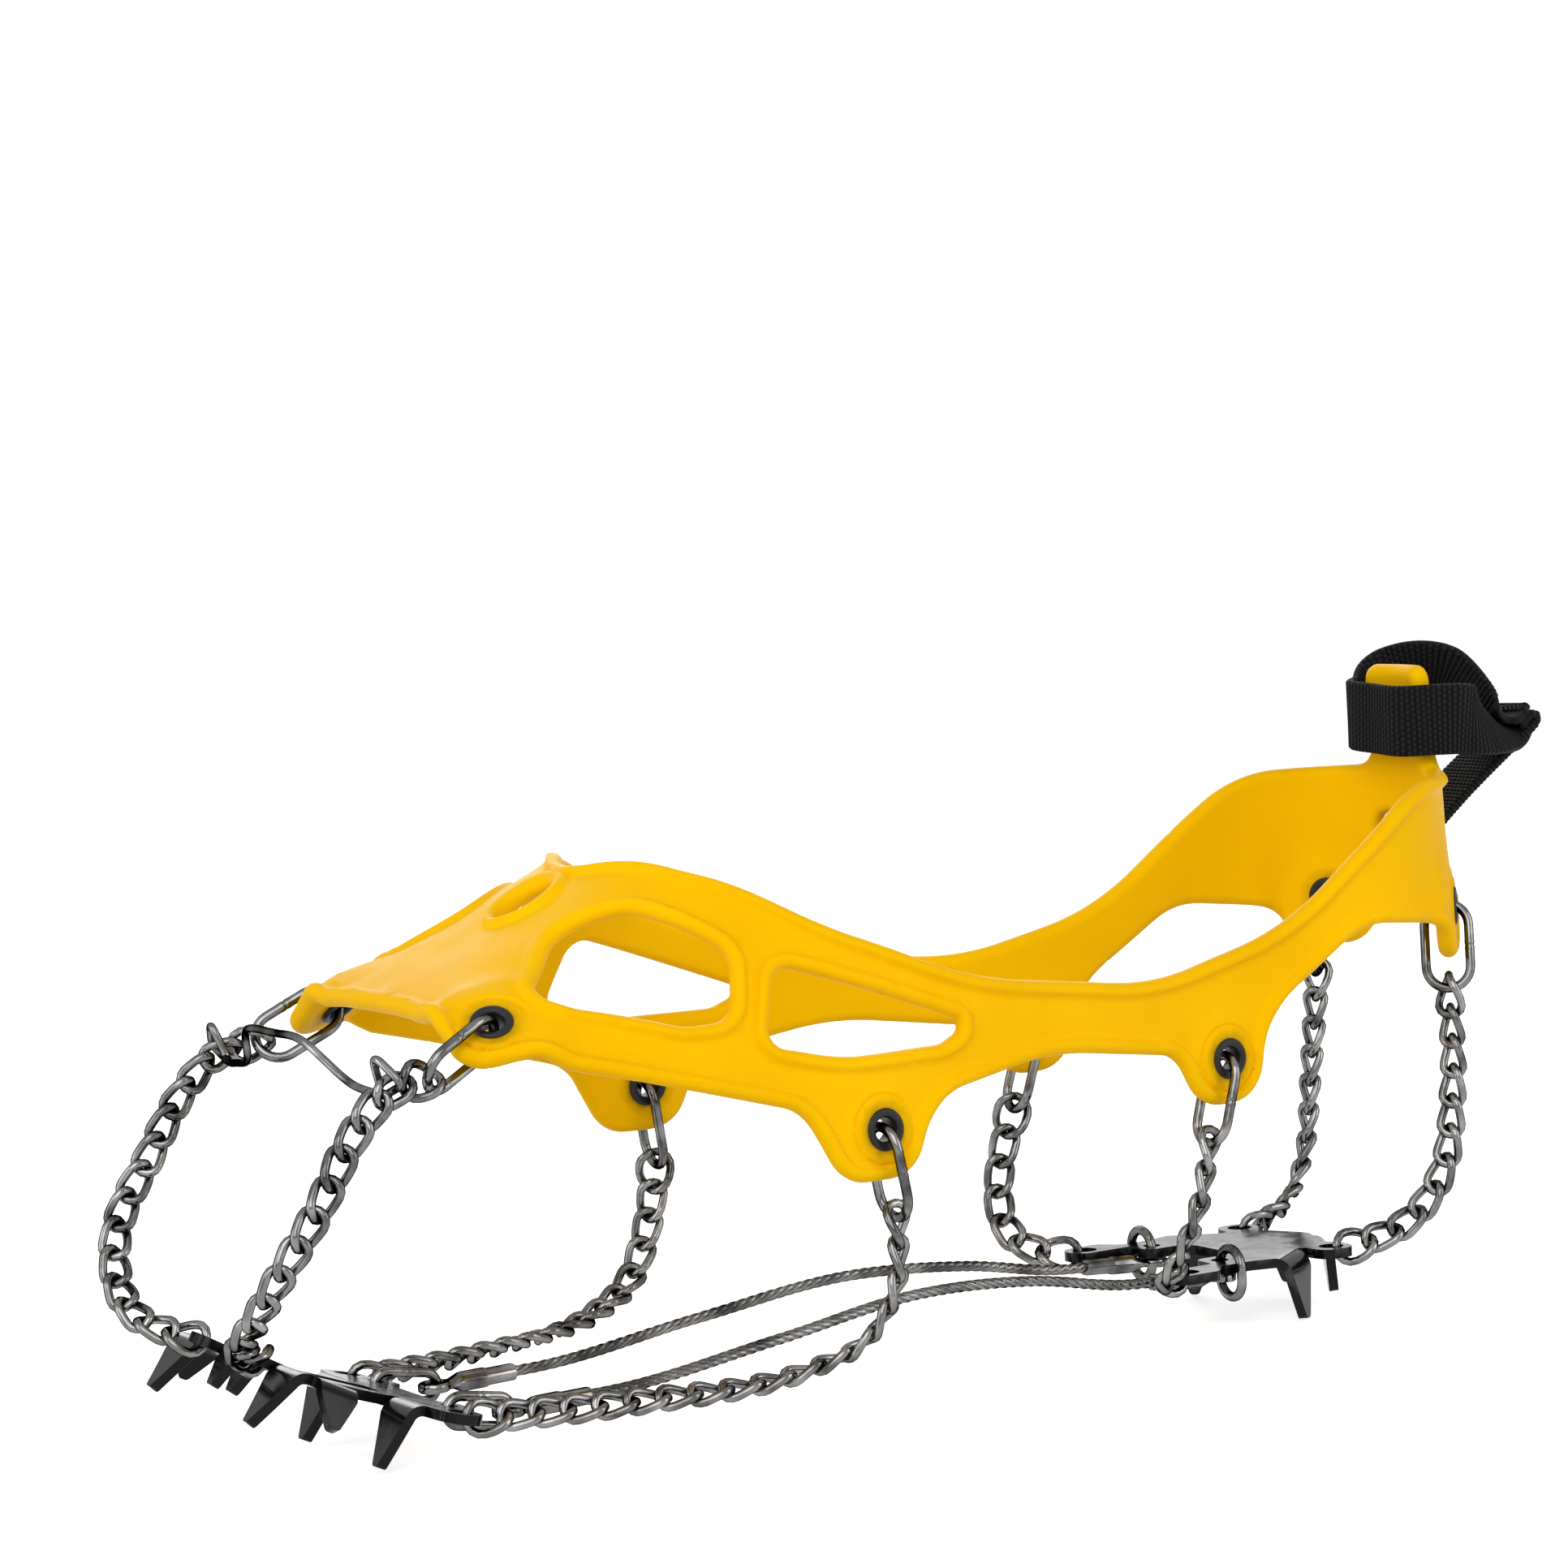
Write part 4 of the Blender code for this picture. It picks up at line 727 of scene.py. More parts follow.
# The steel darkens where the surface is hollow, as on the inner side of each link: painted shade.
steel = noisy_finish(
    "bright_steel", "bright_steel", (160.0, 3.0, (0.050, 0.050, 0.0495), (0.270, 0.270, 0.267)),
    (420.0, 4.0, 0.08, 0.18), [(900.0, 3.0, 0.12, 0.0001)],
    {"Metallic": 1.0, "Specular Tint": (0.10, 0.10, 0.10, 1.0)},
    ("Pointiness", 0.54, 0.44, 1.0, None, (0.025, 0.025, 0.025)))
black_steel = noisy_finish(
    "black_steel", "black_steel", (70.0, 3.0, (0.0012, 0.0012, 0.0012), (0.0034, 0.0034, 0.0038)),
    (240.0, 4.0, 0.10, 0.24), [(320.0, 3.0, 0.12, 0.00025)], {"Specular IOR Level": 0.15},
    ("Pointiness", 0.56, 0.66, 1.0, (500.0, 4.0), (0.10, 0.10, 0.10)))
grommet_black = noisy_finish(
    "grommet_black", "grommet_black", (300.0, 3.0, (0.006, 0.0064, 0.007), (0.014, 0.0145, 0.0155)),
    (600.0, 3.0, 0.34, 0.52), [(1400.0, 2.0, 0.12, 0.00012)], {"Specular IOR Level": 0.25})
thread = noisy_finish(
    "sewing_thread", "webbing_black", (900.0, 3.0, (0.002, 0.002, 0.002), (0.020, 0.020, 0.021)),
    (700.0, 2.0, 0.42, 0.60), [(2600.0, 2.0, 0.4, 0.0001)], {"Specular IOR Level": 0.3})
webbing = (webbing_material(), "webbing_black")


# Harness

def seam_places(start, end):
    """Places along the mid-plane between two edges: the rim's rows at each end and even steps."""
    length = abs(end - start)
    rows = [row for row in rim_rows if row < length / 2.0]
    between = np.arange(rows[-1] + seam_step, length - rows[-1] - seam_step / 2.0, seam_step)
    places = [*rows, *between, *(length - row for row in reversed(rows))]
    return [start + math.copysign(place, end - start) for place in places]


def crown_seam(start, end):
    return [np.array([run, crown_girth(run)]) for run in seam_places(start, end)]


def harness_outlines():
    """The left half's outline in run and girth, its windows, and the stretches that are edges."""
    tab_run = heel_back_run + tab_half_width
    slot_top = heel_slot_low + heel_slot_height
    slot_edge = heel_back_run + heel_slot_half_width
    low = [
        (front_edge_run, crown_girth(front_edge_run), 0.0), (front_edge_run, 37.0, 9.0), (84.0, 37.6, 6.0),
        (61.0, 30.8, 60.0), (30.0, 21.6, 10.0), (22.0, 6.6, 8.5), (6.0, 6.4, 8.5), (0.0, 20.5, 14.0),
        (-30.0, 25.4, 60.0), (-62.5, 20.6, 8.0), (-68.0, 9.4, 8.5), (-83.0, 9.4, 8.5), (-86.0, 26.0, 22.0),
        (-112.0, 42.0, 18.0), (-134.0, 39.5, 9.0), (-139.5, 31.0, 8.5), (-156.5, 31.0, 8.5),
        (-160.0, heel_arch_girth, 8.0), (heel_back_run, heel_arch_girth, 0.0),
    ]
    heel = [(heel_back_run, heel_slot_low, 0.0), (slot_edge, heel_slot_low, 2.5),
            (slot_edge, slot_top, 2.5), (heel_back_run, slot_top, 0.0)]
    top = [
        (heel_back_run, tab_top_girth, 0.0), (tab_run + tab_flare, tab_top_girth, 3.5),
        (tab_run, tab_top_girth - 9.0, 8.0), (tab_run, 70.0, 5.0), (-128.0, 69.0, 30.0),
        (-92.0, 43.0, 60.0), (-58.0, 35.5, 60.0), (-12.0, 42.0, 90.0), (21.0, 57.0, 60.0),
        (40.0, 74.0, 22.0),
        (instep_edge_run - 1.0, crown_girth(instep_edge_run) - 6.0, 5.0),
        (instep_edge_run, crown_girth(instep_edge_run), 0.0),
    ]
    outline, stretches = [], []
    for corners in (low, heel, top):
        stretch = resampled(rounded_outline(corners, arc_step), edge_step, False)
        if outline:
            outline += [np.array([heel_back_run, girth])
                        for girth in seam_places(outline[-1][1], stretch[0][1])]
        outline += stretch
        stretches.append(stretch)
    slot = []
    for angle in math.pi * np.arange(instep_slot_steps + 1) / instep_slot_steps:
        run = (instep_slot_front + instep_slot_rear) / 2.0
        run -= (instep_slot_front - instep_slot_rear) / 2.0 * math.cos(angle)
        slot.append(np.array([run, crown_girth(run) - instep_slot_half_width * math.sin(angle)]))
    outline += crown_seam(instep_edge_run, instep_slot_rear) + slot
    outline += crown_seam(instep_slot_front, front_edge_run)
    windows = [
        [(79.0, 50.0, 5.0), (65.0, 71.0, 9.0), (53.5, 69.5, 9.0), (38.6, 53.5, 6.0), (42.0, 40.4, 5.0),
         (52.0, 40.4, 12.0)],
        [(30.8, 50.2, 4.0), (-10.5, 33.6, 2.6), (-3.0, 30.4, 6.0), (20.0, 30.6, 40.0), (36.0, 34.8, 6.0)],
    ]
    windows = [resampled(closed_outline(corners, arc_step), edge_step, True) for corners in windows]
    return outline, windows, [*stretches, slot]


def thinned(points, reach):
    """The points in order, less each one that lies within reach of one before it."""
    kept = []
    cells = {}
    for p in points:
        cell = (int(p[0] // reach), int(p[1] // reach))
        near = (q for i in (-1, 0, 1) for j in (-1, 0, 1)
                for q in cells.get((cell[0] + i, cell[1] + j), ()))
        if all((p[0] - q[0]) ** 2 + (p[1] - q[1]) ** 2 > reach * reach for q in near):
            kept.append(p)
            cells.setdefault(cell, []).append(p)
    return kept


def harness_points(loops, windows, stretches):
    """Free points of the panel: circles round the eyelets, rows along the edges, and a grid."""
    free = [p for station in eyelets for row in boss_rows for p in eyelet_circle(station, row)]
    lines = [(line, range(1, len(line) - 1)) for line in stretches]
    lines += [(loop, range(len(loop))) for loop in windows]
    for row in rim_rows:
        beside = []
        for line, places in lines:
            for i in places:
                along = line[(i + 1) % len(line)] - line[i - 1]
                across = unit((-along[1], along[0])) * row
                beside += [line[i] + across, line[i] - across]
        away = edge_distance(beside, windows, stretches)
        free += [p for p, d in zip(beside, away) if abs(d - row) < row_play[0] * row + row_play[1]]
    for j, girth in enumerate(np.arange(6.0, 100.0, grid_step * grid_row_share)):
        free += [np.array([run + grid_step / 2.0 * (j % 2), girth])
                 for run in np.arange(heel_back_run, front_edge_run, grid_step)]
    free = np.array(free)
    tops = np.array([crown_girth(run) for run in free[:, 0]])
    keep = inside(free, loops) & (free[:, 1] < tops - seam_room) & (free[:, 0] > heel_back_run + seam_room)
    free = free[keep]
    return thinned(free[edge_distance(free, loops) > edge_room], point_room)


def harness_faces(edge, boss):
    """Heights of the panel's outer and inner face by the distances to its edges and its eyelets."""
    bead = (panel_thickness + rim_height) / 2.0
    centre_line = (rim_height - panel_thickness) / 2.0
    round_off = np.sqrt(np.maximum(bead**2 - np.maximum(bead - edge, 0.0) ** 2, 0.0))
    lip_radius, lip_width, lip_height = boss_lip
    dish = boss_height * ease((boss_radius - boss) / boss_fall)
    lip = lip_height * np.exp(-((boss - lip_radius) / lip_width) ** 2)
    dish = (dish + lip) * ease((edge - bead) / boss_blend)
    fall = rim_height - rim_height * ease((edge - bead) / rim_blend)
    outer = np.where(edge < bead, centre_line + round_off, np.maximum(fall, dish))
    outer = np.where(boss < boss_flat_radius, np.minimum(outer, boss_height), outer)
    groove_radius, groove_width, groove_depth = boss_groove
    groove = groove_depth * np.exp(-((boss - groove_radius) / groove_width) ** 2)
    groove = groove * ease((edge - groove_start) / groove_blend)
    return outer - groove, np.where(edge < bead, centre_line - round_off, -panel_thickness)


def make_harness():
    """Both halves of the panel, joined along the mid-plane and closed at the edges and eyelets."""
    outline, windows, stretches = harness_outlines()
    loops = [outline, *windows]
    loops += [eyelet_circle(station, grommet_barrel_radius + seat_gap) for station in eyelets]
    flat, triangles, sides = triangulate(loops, harness_points(loops, windows, stretches))
    edge = edge_distance(flat, windows, stretches)
    base = np.array([form_point(run, girth) for run, girth in flat])
    middle = np.array([girth >= crown_girth(run) - 1e-3 or run <= heel_back_run + 1e-3
                       for run, girth in flat])
    base[middle, 1] = 0.0
    count = len(flat)
    boss = np.full(count, 99.0)
    for centre, axis, _ in eyelet_frames.values():
        away = np.linalg.norm(base - centre, axis=1)
        share = ease((tab_flat_radius + tab_flat_blend - away) / tab_flat_blend)
        base -= axis * ((base - centre) @ axis * share)[:, None]
        boss = np.minimum(boss, np.linalg.norm(base - centre, axis=1))
    normals = np.zeros((count, 3))
    for face in triangles:
        a, b, c = (base[i] for i in face)
        normals[list(face)] += np.cross(b - a, c - a)
    normals[middle, 1] = 0.0
    normals /= np.linalg.norm(normals, axis=1)[:, None]
    if np.sum(normals[:, 2]) < 0.0:
        normals = -normals
    on_edge = edge < 1e-4
    index = {}
    owners, verts, faces = [], [], []
    for layer, rise in enumerate(harness_faces(edge, boss)):
        for hand in (LEFT, RIGHT):
            for i in range(count):
                if layer == 1 and on_edge[i]:
                    index[layer, hand, i] = index[0, hand, i]
                elif hand == RIGHT and middle[i]:
                    index[layer, hand, i] = index[layer, LEFT, i]
                else:
                    index[layer, hand, i] = len(verts)
                    owners.append(i)
                    verts.append((base[i] + normals[i] * rise[i]) * (1.0, hand, 1.0))
    for hand in (LEFT, RIGHT):
        for face in triangles:
            order = face if hand == LEFT else face[::-1]
            faces.append(tuple(index[0, hand, i] for i in order))
            faces.append(tuple(index[1, hand, i] for i in reversed(order)))
        for pair in sides.values():
            if pair is None or all(middle[list(pair)]) or all(on_edge[list(pair)]):
                continue
            a, b = pair if hand == LEFT else pair[::-1]
            wall = (index[0, hand, b], index[0, hand, a], index[1, hand, a], index[1, hand, b])
            faces.append(tuple(dict.fromkeys(wall)))
    faces = [f for f in faces if len(set(f)) > 2]
    obj = add_piece("harness_moulded", (verts, faces), elastomer, ROOT, "harness", sharp=60.0)
    # Distance from the nearest eyelet, which the elastomer reads for its painted shade round the grommets.
    ring_distance = obj.data.attributes.new("eyelet", "FLOAT", "POINT")
    ring_distance.data.foreach_set("value", boss[owners])


def make_grommet(station, hand, label):
    centre, axis, _ = (np.array([1.0, hand, 1.0]) * part for part in eyelet_frames[station])
    top = boss_height + seat_gap * 0.2
    low = -panel_thickness - seat_gap
    lip, thick, bore = grommet_flange_radius, grommet_flange_thickness, grommet_hole_radius
    profile = [
        (bore + 0.05, low), (bore + 0.35, low - thick * 0.8), (bore + 0.9, low - thick),
        (lip - 0.5, low - thick), (lip - 0.1, low - thick * 0.7), (lip, low - thick * 0.3), (lip - 0.1, low),
        (grommet_barrel_radius, low), (grommet_barrel_radius, top), (lip - 0.1, top),
        (lip, top + thick * 0.3), (lip - 0.12, top + thick * 0.75), (lip - 0.5, top + thick * 1.05),
        (bore + 0.95, top + thick * 1.05), (bore + 0.45, top + thick * 0.8),
        (bore + 0.12, top + thick * 0.2), (bore, top - 0.6),
    ]
    shape = turned(profile, centre, axis, unit(np.cross(axis, (0.0, 0.3, 1.0))), grommet_steps)
    add_piece(f"eyelet_{station}_{label}", shape, grommet_black, ROOT, f"grommet_{station}_{label}",
              sharp=50.0)


# Rings and chains

def ring_frame(station):
    """Pivot of a left ring in its grommet, the way it is pulled, its face and the way across."""
    centre, normal, _ = eyelet_frames[station]
    middle = centre + normal * (boss_height - panel_thickness) / 2.0
    pull = square_to(np.array(chain_routes[station][0]) - middle, normal)
    across = unit(np.cross(pull, normal))
    half = (panel_thickness + boss_height) / 2.0 + seat_gap + grommet_flange_thickness
    radius = (ring_width - ring_wire) / 2.0
    lean = math.asin(half / radius)
    drop = radius * (1.0 - math.cos(lean)) + ring_wire / 2.0 / math.cos(lean)
    bearing = grommet_hole_radius * math.cos(math.pi / 10.0)
    return middle + pull * (bearing - ear_gap - drop), pull, np.cross(across, pull), across


def make_ring(station, hand, label):
    pivot, pull, face, _ = ring_frame(station)
    length = ring_length - ring_wire
    shape = welded_oblong(pivot + pull * length / 2.0, pull, face, length, ring_width - ring_wire,
                          ring_wire / 2.0 - round_trim, 36, 1.0)
    name = f"ring_{station}_{label}"
    add_piece(f"oblong_{name}", shape, steel, name, name, hand=hand)


def place_front(point):
    slope = front_plate_slope + point[0] / front_plate_roll_radius
    x = front_plate_x + front_plate_roll_radius * (math.sin(slope) - math.sin(front_plate_slope))
    z = front_plate_z + front_plate_roll_radius * (math.cos(front_plate_slope) - math.cos(slope))
    return np.array([x - point[2] * math.sin(slope), point[1], z + point[2] * math.cos(slope)])


def place_heel(point):
    return np.array([heel_plate_x + point[0], point[1], heel_plate_z + point[2]])


def plate_hole(place, spot):
    centre = place((*spot, 0.0))
    return centre, unit(place((*spot, 1.0)) - centre)


plate_ears = {
    "front": plate_hole(place_front, front_chain_ear),
    "mid": plate_hole(place_front, mid_chain_ear),
    "heel": plate_hole(place_heel, heel_chain_ear),
    "rear": plate_hole(place_heel, rear_chain_ear),
}


def chain_frame(station):
    """Bearing points of a left chain from its ring to its plate, with each link's side and roll."""
    pivot, pull, _, across = ring_frame(station)
    start = pivot + pull * (ring_length - ring_wire) - pull * (ring_wire / 2.0 + ring_gap / 2.0)
    hole, sheet_normal = plate_ears[station]
    inward = square_to(unit(np.array(chain_routes[station][-1]) - hole), sheet_normal)
    end = hole + inward * (ear_hole_radius - ear_gap / 2.0)
    fine = smooth_route([start, *chain_routes[station][1:], end], 1.0)
    lengths = run_lengths(fine)
    count = int(round(lengths[-1] / chain_pitch))
    marks = lengths[-1] * np.arange(count + 1) / count
    bearings = np.column_stack([np.interp(marks, lengths, fine[:, k]) for k in range(3)])
    sides = []
    side, previous = across, pull
    for k in range(count):
        axis = unit(bearings[k + 1] - bearings[k])
        turn_axis = np.cross(previous, axis)
        turn = np.linalg.norm(turn_axis)
        if turn > 1e-6:
            side = rotate(side, unit(turn_axis), math.asin(min(turn, 1.0)))
        side = square_to(side, axis)
        sides.append(side)
        previous = axis
    wanted = square_to(sheet_normal, previous)
    last = rotate(sides[-1], previous, -link_twist)
    miss = math.atan2(np.dot(previous, np.cross(last, wanted)), np.dot(last, wanted))
    miss = (miss + math.pi / 2.0) % math.pi - math.pi / 2.0
    rolls = [miss * k / max(count - 1, 1) - link_twist / 2.0 for k in range(count)]
    return bearings, sides, rolls


chain_frames = {station: chain_frame(station) for station in eyelets}


def twisted_link(start, end, side, scale):
    """An oblong link twisted about its own axis."""
    axis = unit(end - start)
    length = np.linalg.norm(end - start)
    width = min((link_width - chain_wire) * scale, length * 0.98)
    points = []
    for a, b in oblong(length, width, 8, 6):
        points.append(start + axis * (a + length / 2.0) + rotate(side, axis, -link_twist * a / length) * b)
    return wire(points, (chain_wire - round_trim / 3.0) / 2.0, link_sides, True, (start + end) / 2.0)


def make_chain(station, hand, label):
    bearings, sides, rolls = chain_frames[station]
    last = len(rolls) - 1
    touch = chain_wire / 2.0 + link_touch
    shapes = []
    for k, roll in enumerate(rolls):
        a, b = bearings[k], bearings[k + 1]
        axis = unit(b - a)
        start = a - axis * (touch + (ring_gap / 2.0 if k == 0 else 0.0))
        end = b + axis * (touch + (ear_gap / 2.0 if k == last else 0.0))
        scale = end_link_scale if k in (0, last) else 1.0
        shapes.append(twisted_link(start, end, rotate(sides[k], axis, roll), scale))
    name = f"chain_{station}_{label}"
    add_piece(f"twisted_{name}", joined(shapes), steel, name, name, hand=hand)


# Plates

class Fold:
    """A tab bent down from a plate's edge along a line."""

    def __init__(self, middle, outward, base, length, tip, lean):
        self.middle = np.asarray(middle, dtype=float)
        self.outward = unit(outward)
        self.along = np.array([-self.outward[1], self.outward[0]])
        self.base, self.tip = base, tip
        self.arc = bend_radius * math.radians(lean)
        self.reach = self.arc + length - bend_radius

    def steps(self):
        """Distances from the bend line along the tab, with its half width there."""
        half, tip = self.base / 2.0, self.tip / 2.0
        drawn = half * (1.0 - bend_draw)
        shares = np.arange(1, bend_steps + 1) / bend_steps
        bend = [(self.arc * s, half * (1.0 - bend_draw * s)) for s in shares]
        straight = self.reach - 0.9 - self.arc
        taper = [(self.arc + straight * s, drawn + (tip - drawn) * s) for s in (0.33, 0.66, 1.0)]
        return bend + taper + [(self.reach - 0.35, tip * 0.82), (self.reach, tip * 0.45)]

    def bend(self, away, aside):
        """A point of the tab and its normal there."""
        angle = min(away, self.arc) / bend_radius
        rest = max(away - self.arc, 0.0)
        out = bend_radius * math.sin(angle) + rest * math.cos(angle)
        down = bend_radius * (1.0 - math.cos(angle)) + rest * math.sin(angle)
        flat = self.middle + self.along * aside + self.outward * out
        return np.array([*flat, -down]), np.array([*(self.outward * math.sin(angle)), math.cos(angle)])


def plate_stretch(corners):
    return resampled(rounded_outline(corners, plate_arc_step), plate_step, False)


def half_outline(items):
    """The left half of a plate's outline from corners and folds, with each fold's place and hand."""
    points, marks, corners = [], [], []
    for item in items:
        if isinstance(item, Fold):
            hand = math.copysign(1.0, np.dot(item.along, np.asarray(corners[-1][:2]) - item.middle))
            near, far = (item.middle + item.along * way * hand * item.base / 2.0 for way in (1.0, -1.0))
            points += plate_stretch([*corners, (*near, 0.0)])
            marks.append((item, len(points) - 1, hand))
            corners = [(*far, 0.0)]
        else:
            corners.append(item)
    return points + plate_stretch(corners), marks


def folded_plate(name, items, holes, place):
    half, marks = half_outline(items)
    loop = half + [p * (1.0, -1.0) for p in reversed(half[1:-1])]
    loops = [loop]
    for hole in holes:
        loops.append(hole)
        if np.min(np.asarray(hole)[:, 1]) > 0.0:
            loops.append([p * (1.0, -1.0) for p in reversed(hole)])
    across = np.arange(-31.2, 31.3, plate_grid_step)
    grid = np.array([(u, v) for u in np.arange(-2.0, 52.0, plate_grid_step) for v in across])
    grid = grid[inside(grid, loops)]
    flat, triangles, sides = triangulate(loops, grid[edge_distance(grid, loops) > 1.0])
    thick = plate_thickness / 2.0
    verts = [place((*p, h)) for h in (thick, -thick) for p in flat]
    count = len(flat)
    faces = []
    for face in triangles:
        faces += [face, tuple(i + count for i in reversed(face))]
    for fold, first, hand in marks:
        second = first + 1
        for flip in (LEFT, RIGHT):
            if flip == RIGHT:
                first, second = len(loop) - first, len(loop) - second
            sides[frozenset((first, second))] = None
            previous = [first, second, second + count, first + count]
            for away, half_width in fold.steps():
                ring = [len(verts) + k for k in range(4)]
                for aside, side in ((hand, 1.0), (-hand, 1.0), (-hand, -1.0), (hand, -1.0)):
                    spot, normal = fold.bend(away, aside * half_width)
                    verts.append(place((spot + normal * side * thick) * (1.0, flip, 1.0)))
                faces += [(previous[k], previous[(k + 1) % 4], ring[(k + 1) % 4], ring[k])
                          for k in range(4)]
                previous = ring
            faces.append(tuple(previous))
    faces += [(b, a, a + count, b + count) for a, b in filter(None, sides.values())]
    obj = add_piece(f"{name}_pressed", (verts, faces), black_steel, ROOT, name, sharp=35.0)
    bevel = obj.modifiers.new("edge", "BEVEL")
    bevel.width = plate_edge * MM
    bevel.segments = 3
    bevel.limit_method = "ANGLE"
    bevel.angle_limit = math.radians(50.0)
    bevel.harden_normals = True


def circle(centre, radius, count):
    angles = 2.0 * math.pi * (np.arange(count) + 0.5) / count
    return [np.array([centre[0] + radius * math.cos(a), centre[1] + radius * math.sin(a)]) for a in angles]


def ear_hole(centre):
    return circle(centre, ear_hole_radius, ear_hole_points)


def link_hole(centre):
    return circle(centre, link_hole_radius, link_hole_points)


def make_front_plate():
    tab, ear, toe_ear = front_cable_hole, mid_chain_ear, front_chain_ear
    ahead, bar = (1.0, 0.0), front_edge_line - 1.0
    half = [
        (front_bar_run, 0.0, 0.0), (front_bar_run, tab[1] - 5.2, 1.6), (tab[0] - 3.8, tab[1] - 3.8, 3.0),
        (tab[0] - 3.8, tab[1] + 3.8, 3.0), (ear[0] - 3.4, ear[1] - 4.6, 1.6),
        (ear[0] - 4.4, ear[1] + 4.4, 4.0), (ear[0] + 4.4, ear[1] + 4.4, 4.0),
        (rear_wing_run, rear_wing_half_width, 1.0),
        Fold((rear_wing_run, 16.6), ahead, spike_base, spike_length, spike_tip, 82.0),
        (rear_wing_run, front_rail_half_width, 0.6), (front_wing_run, front_rail_half_width, 3.0),
        (front_wing_run, front_wing_half_width, 1.6),
        Fold((34.4, front_wing_half_width), (0.0, 1.0), side_spike_base, side_spike_length, spike_tip,
             64.0),
        (front_edge_line, front_wing_half_width, 0.8),
        Fold((front_edge_line, 22.6), ahead, spike_base, spike_length, spike_tip, 76.0),
        (front_edge_line, toe_ear[1] + 4.2, 0.6), (toe_ear[0] + 4.2, toe_ear[1] + 3.8, 3.4),
        (toe_ear[0] + 4.2, toe_ear[1] - 3.8, 3.4), (bar, toe_ear[1] - 4.2, 0.6),
        Fold((bar, 4.4), ahead, small_spike_base, small_spike_length, spike_tip, 82.0),
        (bar, 0.0, 0.0),
    ]
    rear, front, aside = rear_wing_run + 0.5, front_wing_run + 1.0, front_window_half_width
    window = closed_outline([(rear, -aside, 3.0), (front, -aside, 3.0), (front, aside, 3.0),
                             (rear, aside, 3.0)], 0.6)
    folded_plate("front_plate", half, [window, link_hole(tab), ear_hole(ear), ear_hole(toe_ear)],
                 place_front)


def make_heel_plate():
    ear = rear_chain_ear
    waist_rear = heel_waist_run - heel_waist_half_length
    waist_front = heel_waist_run + heel_waist_half_length
    half = [
        (0.0, 0.0, 0.0), (0.4, 1.6, 0.5),
        Fold((3.0, 6.4), (-0.875, 0.485), side_spike_base, spike_length - 2.0, spike_tip, 84.0),
        (ear[0] - 4.0, ear[1] - 3.4, 1.5), (ear[0] - 4.2, ear[1] + 4.2, 4.0),
        (ear[0] + 4.2, ear[1] + 4.2, 4.0), (ear[0] + 5.0, ear[1] - 3.0, 1.0),
        Fold((18.2, 16.8), (-0.55, 0.835), spike_base, spike_length, spike_tip, 84.0),
        (waist_rear, heel_waist_outer, 2.0), (waist_front, heel_waist_outer, 2.0),
        (waist_front + heel_waist_half_length, heel_arm_outer, 2.0), (heel_arm_end, heel_arm_outer, 3.4),
        (heel_arm_end, heel_arm_inner, 3.4), (waist_front, heel_arm_inner, 0.8),
        (waist_front, heel_waist_inner, 2.0), (heel_bay_run, heel_waist_inner, 5.0),
        (heel_bay_run, 0.0, 0.0),
    ]
    holes = [ear_hole(ear), ear_hole(heel_chain_ear), link_hole(heel_cable_hole)]
    folded_plate("heel_plate", half, holes, place_heel)


# Cables

link_bite = link_hole_radius - cable_link_wire / 2.0 - seat_gap
link_reach = (cable_link_length - cable_link_wire) / 2.0 - link_bite
terminal_reach = terminal_eye_length + terminal_length - terminal_eye_width / 2.0
link_back = unit((-1.0, 0.0, -0.16))
front_link_centre = plate_hole(place_front, front_cable_hole)[0] + link_back * link_reach
heel_hole = plate_hole(place_heel, heel_cable_hole)[0]
heel_drop = plate_thickness / 2.0 + ear_gap + terminal_eye_thickness / 2.0

# Eye of each left terminal and its way along the rope
terminals = {
    "front": (front_link_centre + link_back * link_reach, unit((-1.0, 0.0, 0.03))),
    "heel": (heel_hole - np.array([0.0, 0.0, heel_drop]), unit((1.0, 0.0, 0.06))),
}


def make_terminal(name, eye, along, hand):
    """A ring plate round the eye's hole, and a pressed sleeve with flats."""
    across = np.array([0.0, 1.0, 0.0])
    up = np.cross(along, across)
    half, radius = terminal_eye_thickness / 2.0, terminal_diameter / 2.0
    hole, rim = link_hole_radius, terminal_eye_width / 2.0
    upper = [(rim, half - 0.3), (rim - 0.3, half), (hole + 0.2, half), (hole, half - 0.2)]
    plate = turned([(r, -h) for r, h in reversed(upper)] + upper, eye, up, along, eye_steps)
    neck, length = terminal_eye_length - rim, terminal_reach
    sections = [(hole + 0.45, rim * 0.80, half * 0.94), (rim * 0.85, rim * 0.86, half * 0.96),
                (rim * 1.12, rim * 0.80, half * 1.05), (neck, radius, radius * 0.96)]
    sleeve = ((neck + 0.8, 1.0), (length * 0.60, 1.0), (length * 0.63, 0.97), (length * 0.66, 0.87),
              (length - 0.5, 0.86), (length - 0.1, 0.80), (length, 0.62))
    sections += [(run, radius * share, radius * share) for run, share in sleeve]
    angles = turns(sleeve_steps)
    flats = 1.0 + terminal_flats * np.cos(6.0 * angles)
    rings = []
    for run, wide, tall in sections:
        ring = np.outer(wide * flats * np.cos(angles), across) + np.outer(tall * flats * np.sin(angles), up)
        rings.append(eye + along * run + ring)
    shape = joined([plate, loft(rings, False)])
    add_piece(f"{name}_pressed", shape, steel, ROOT, name, hand=hand, sharp=45.0)


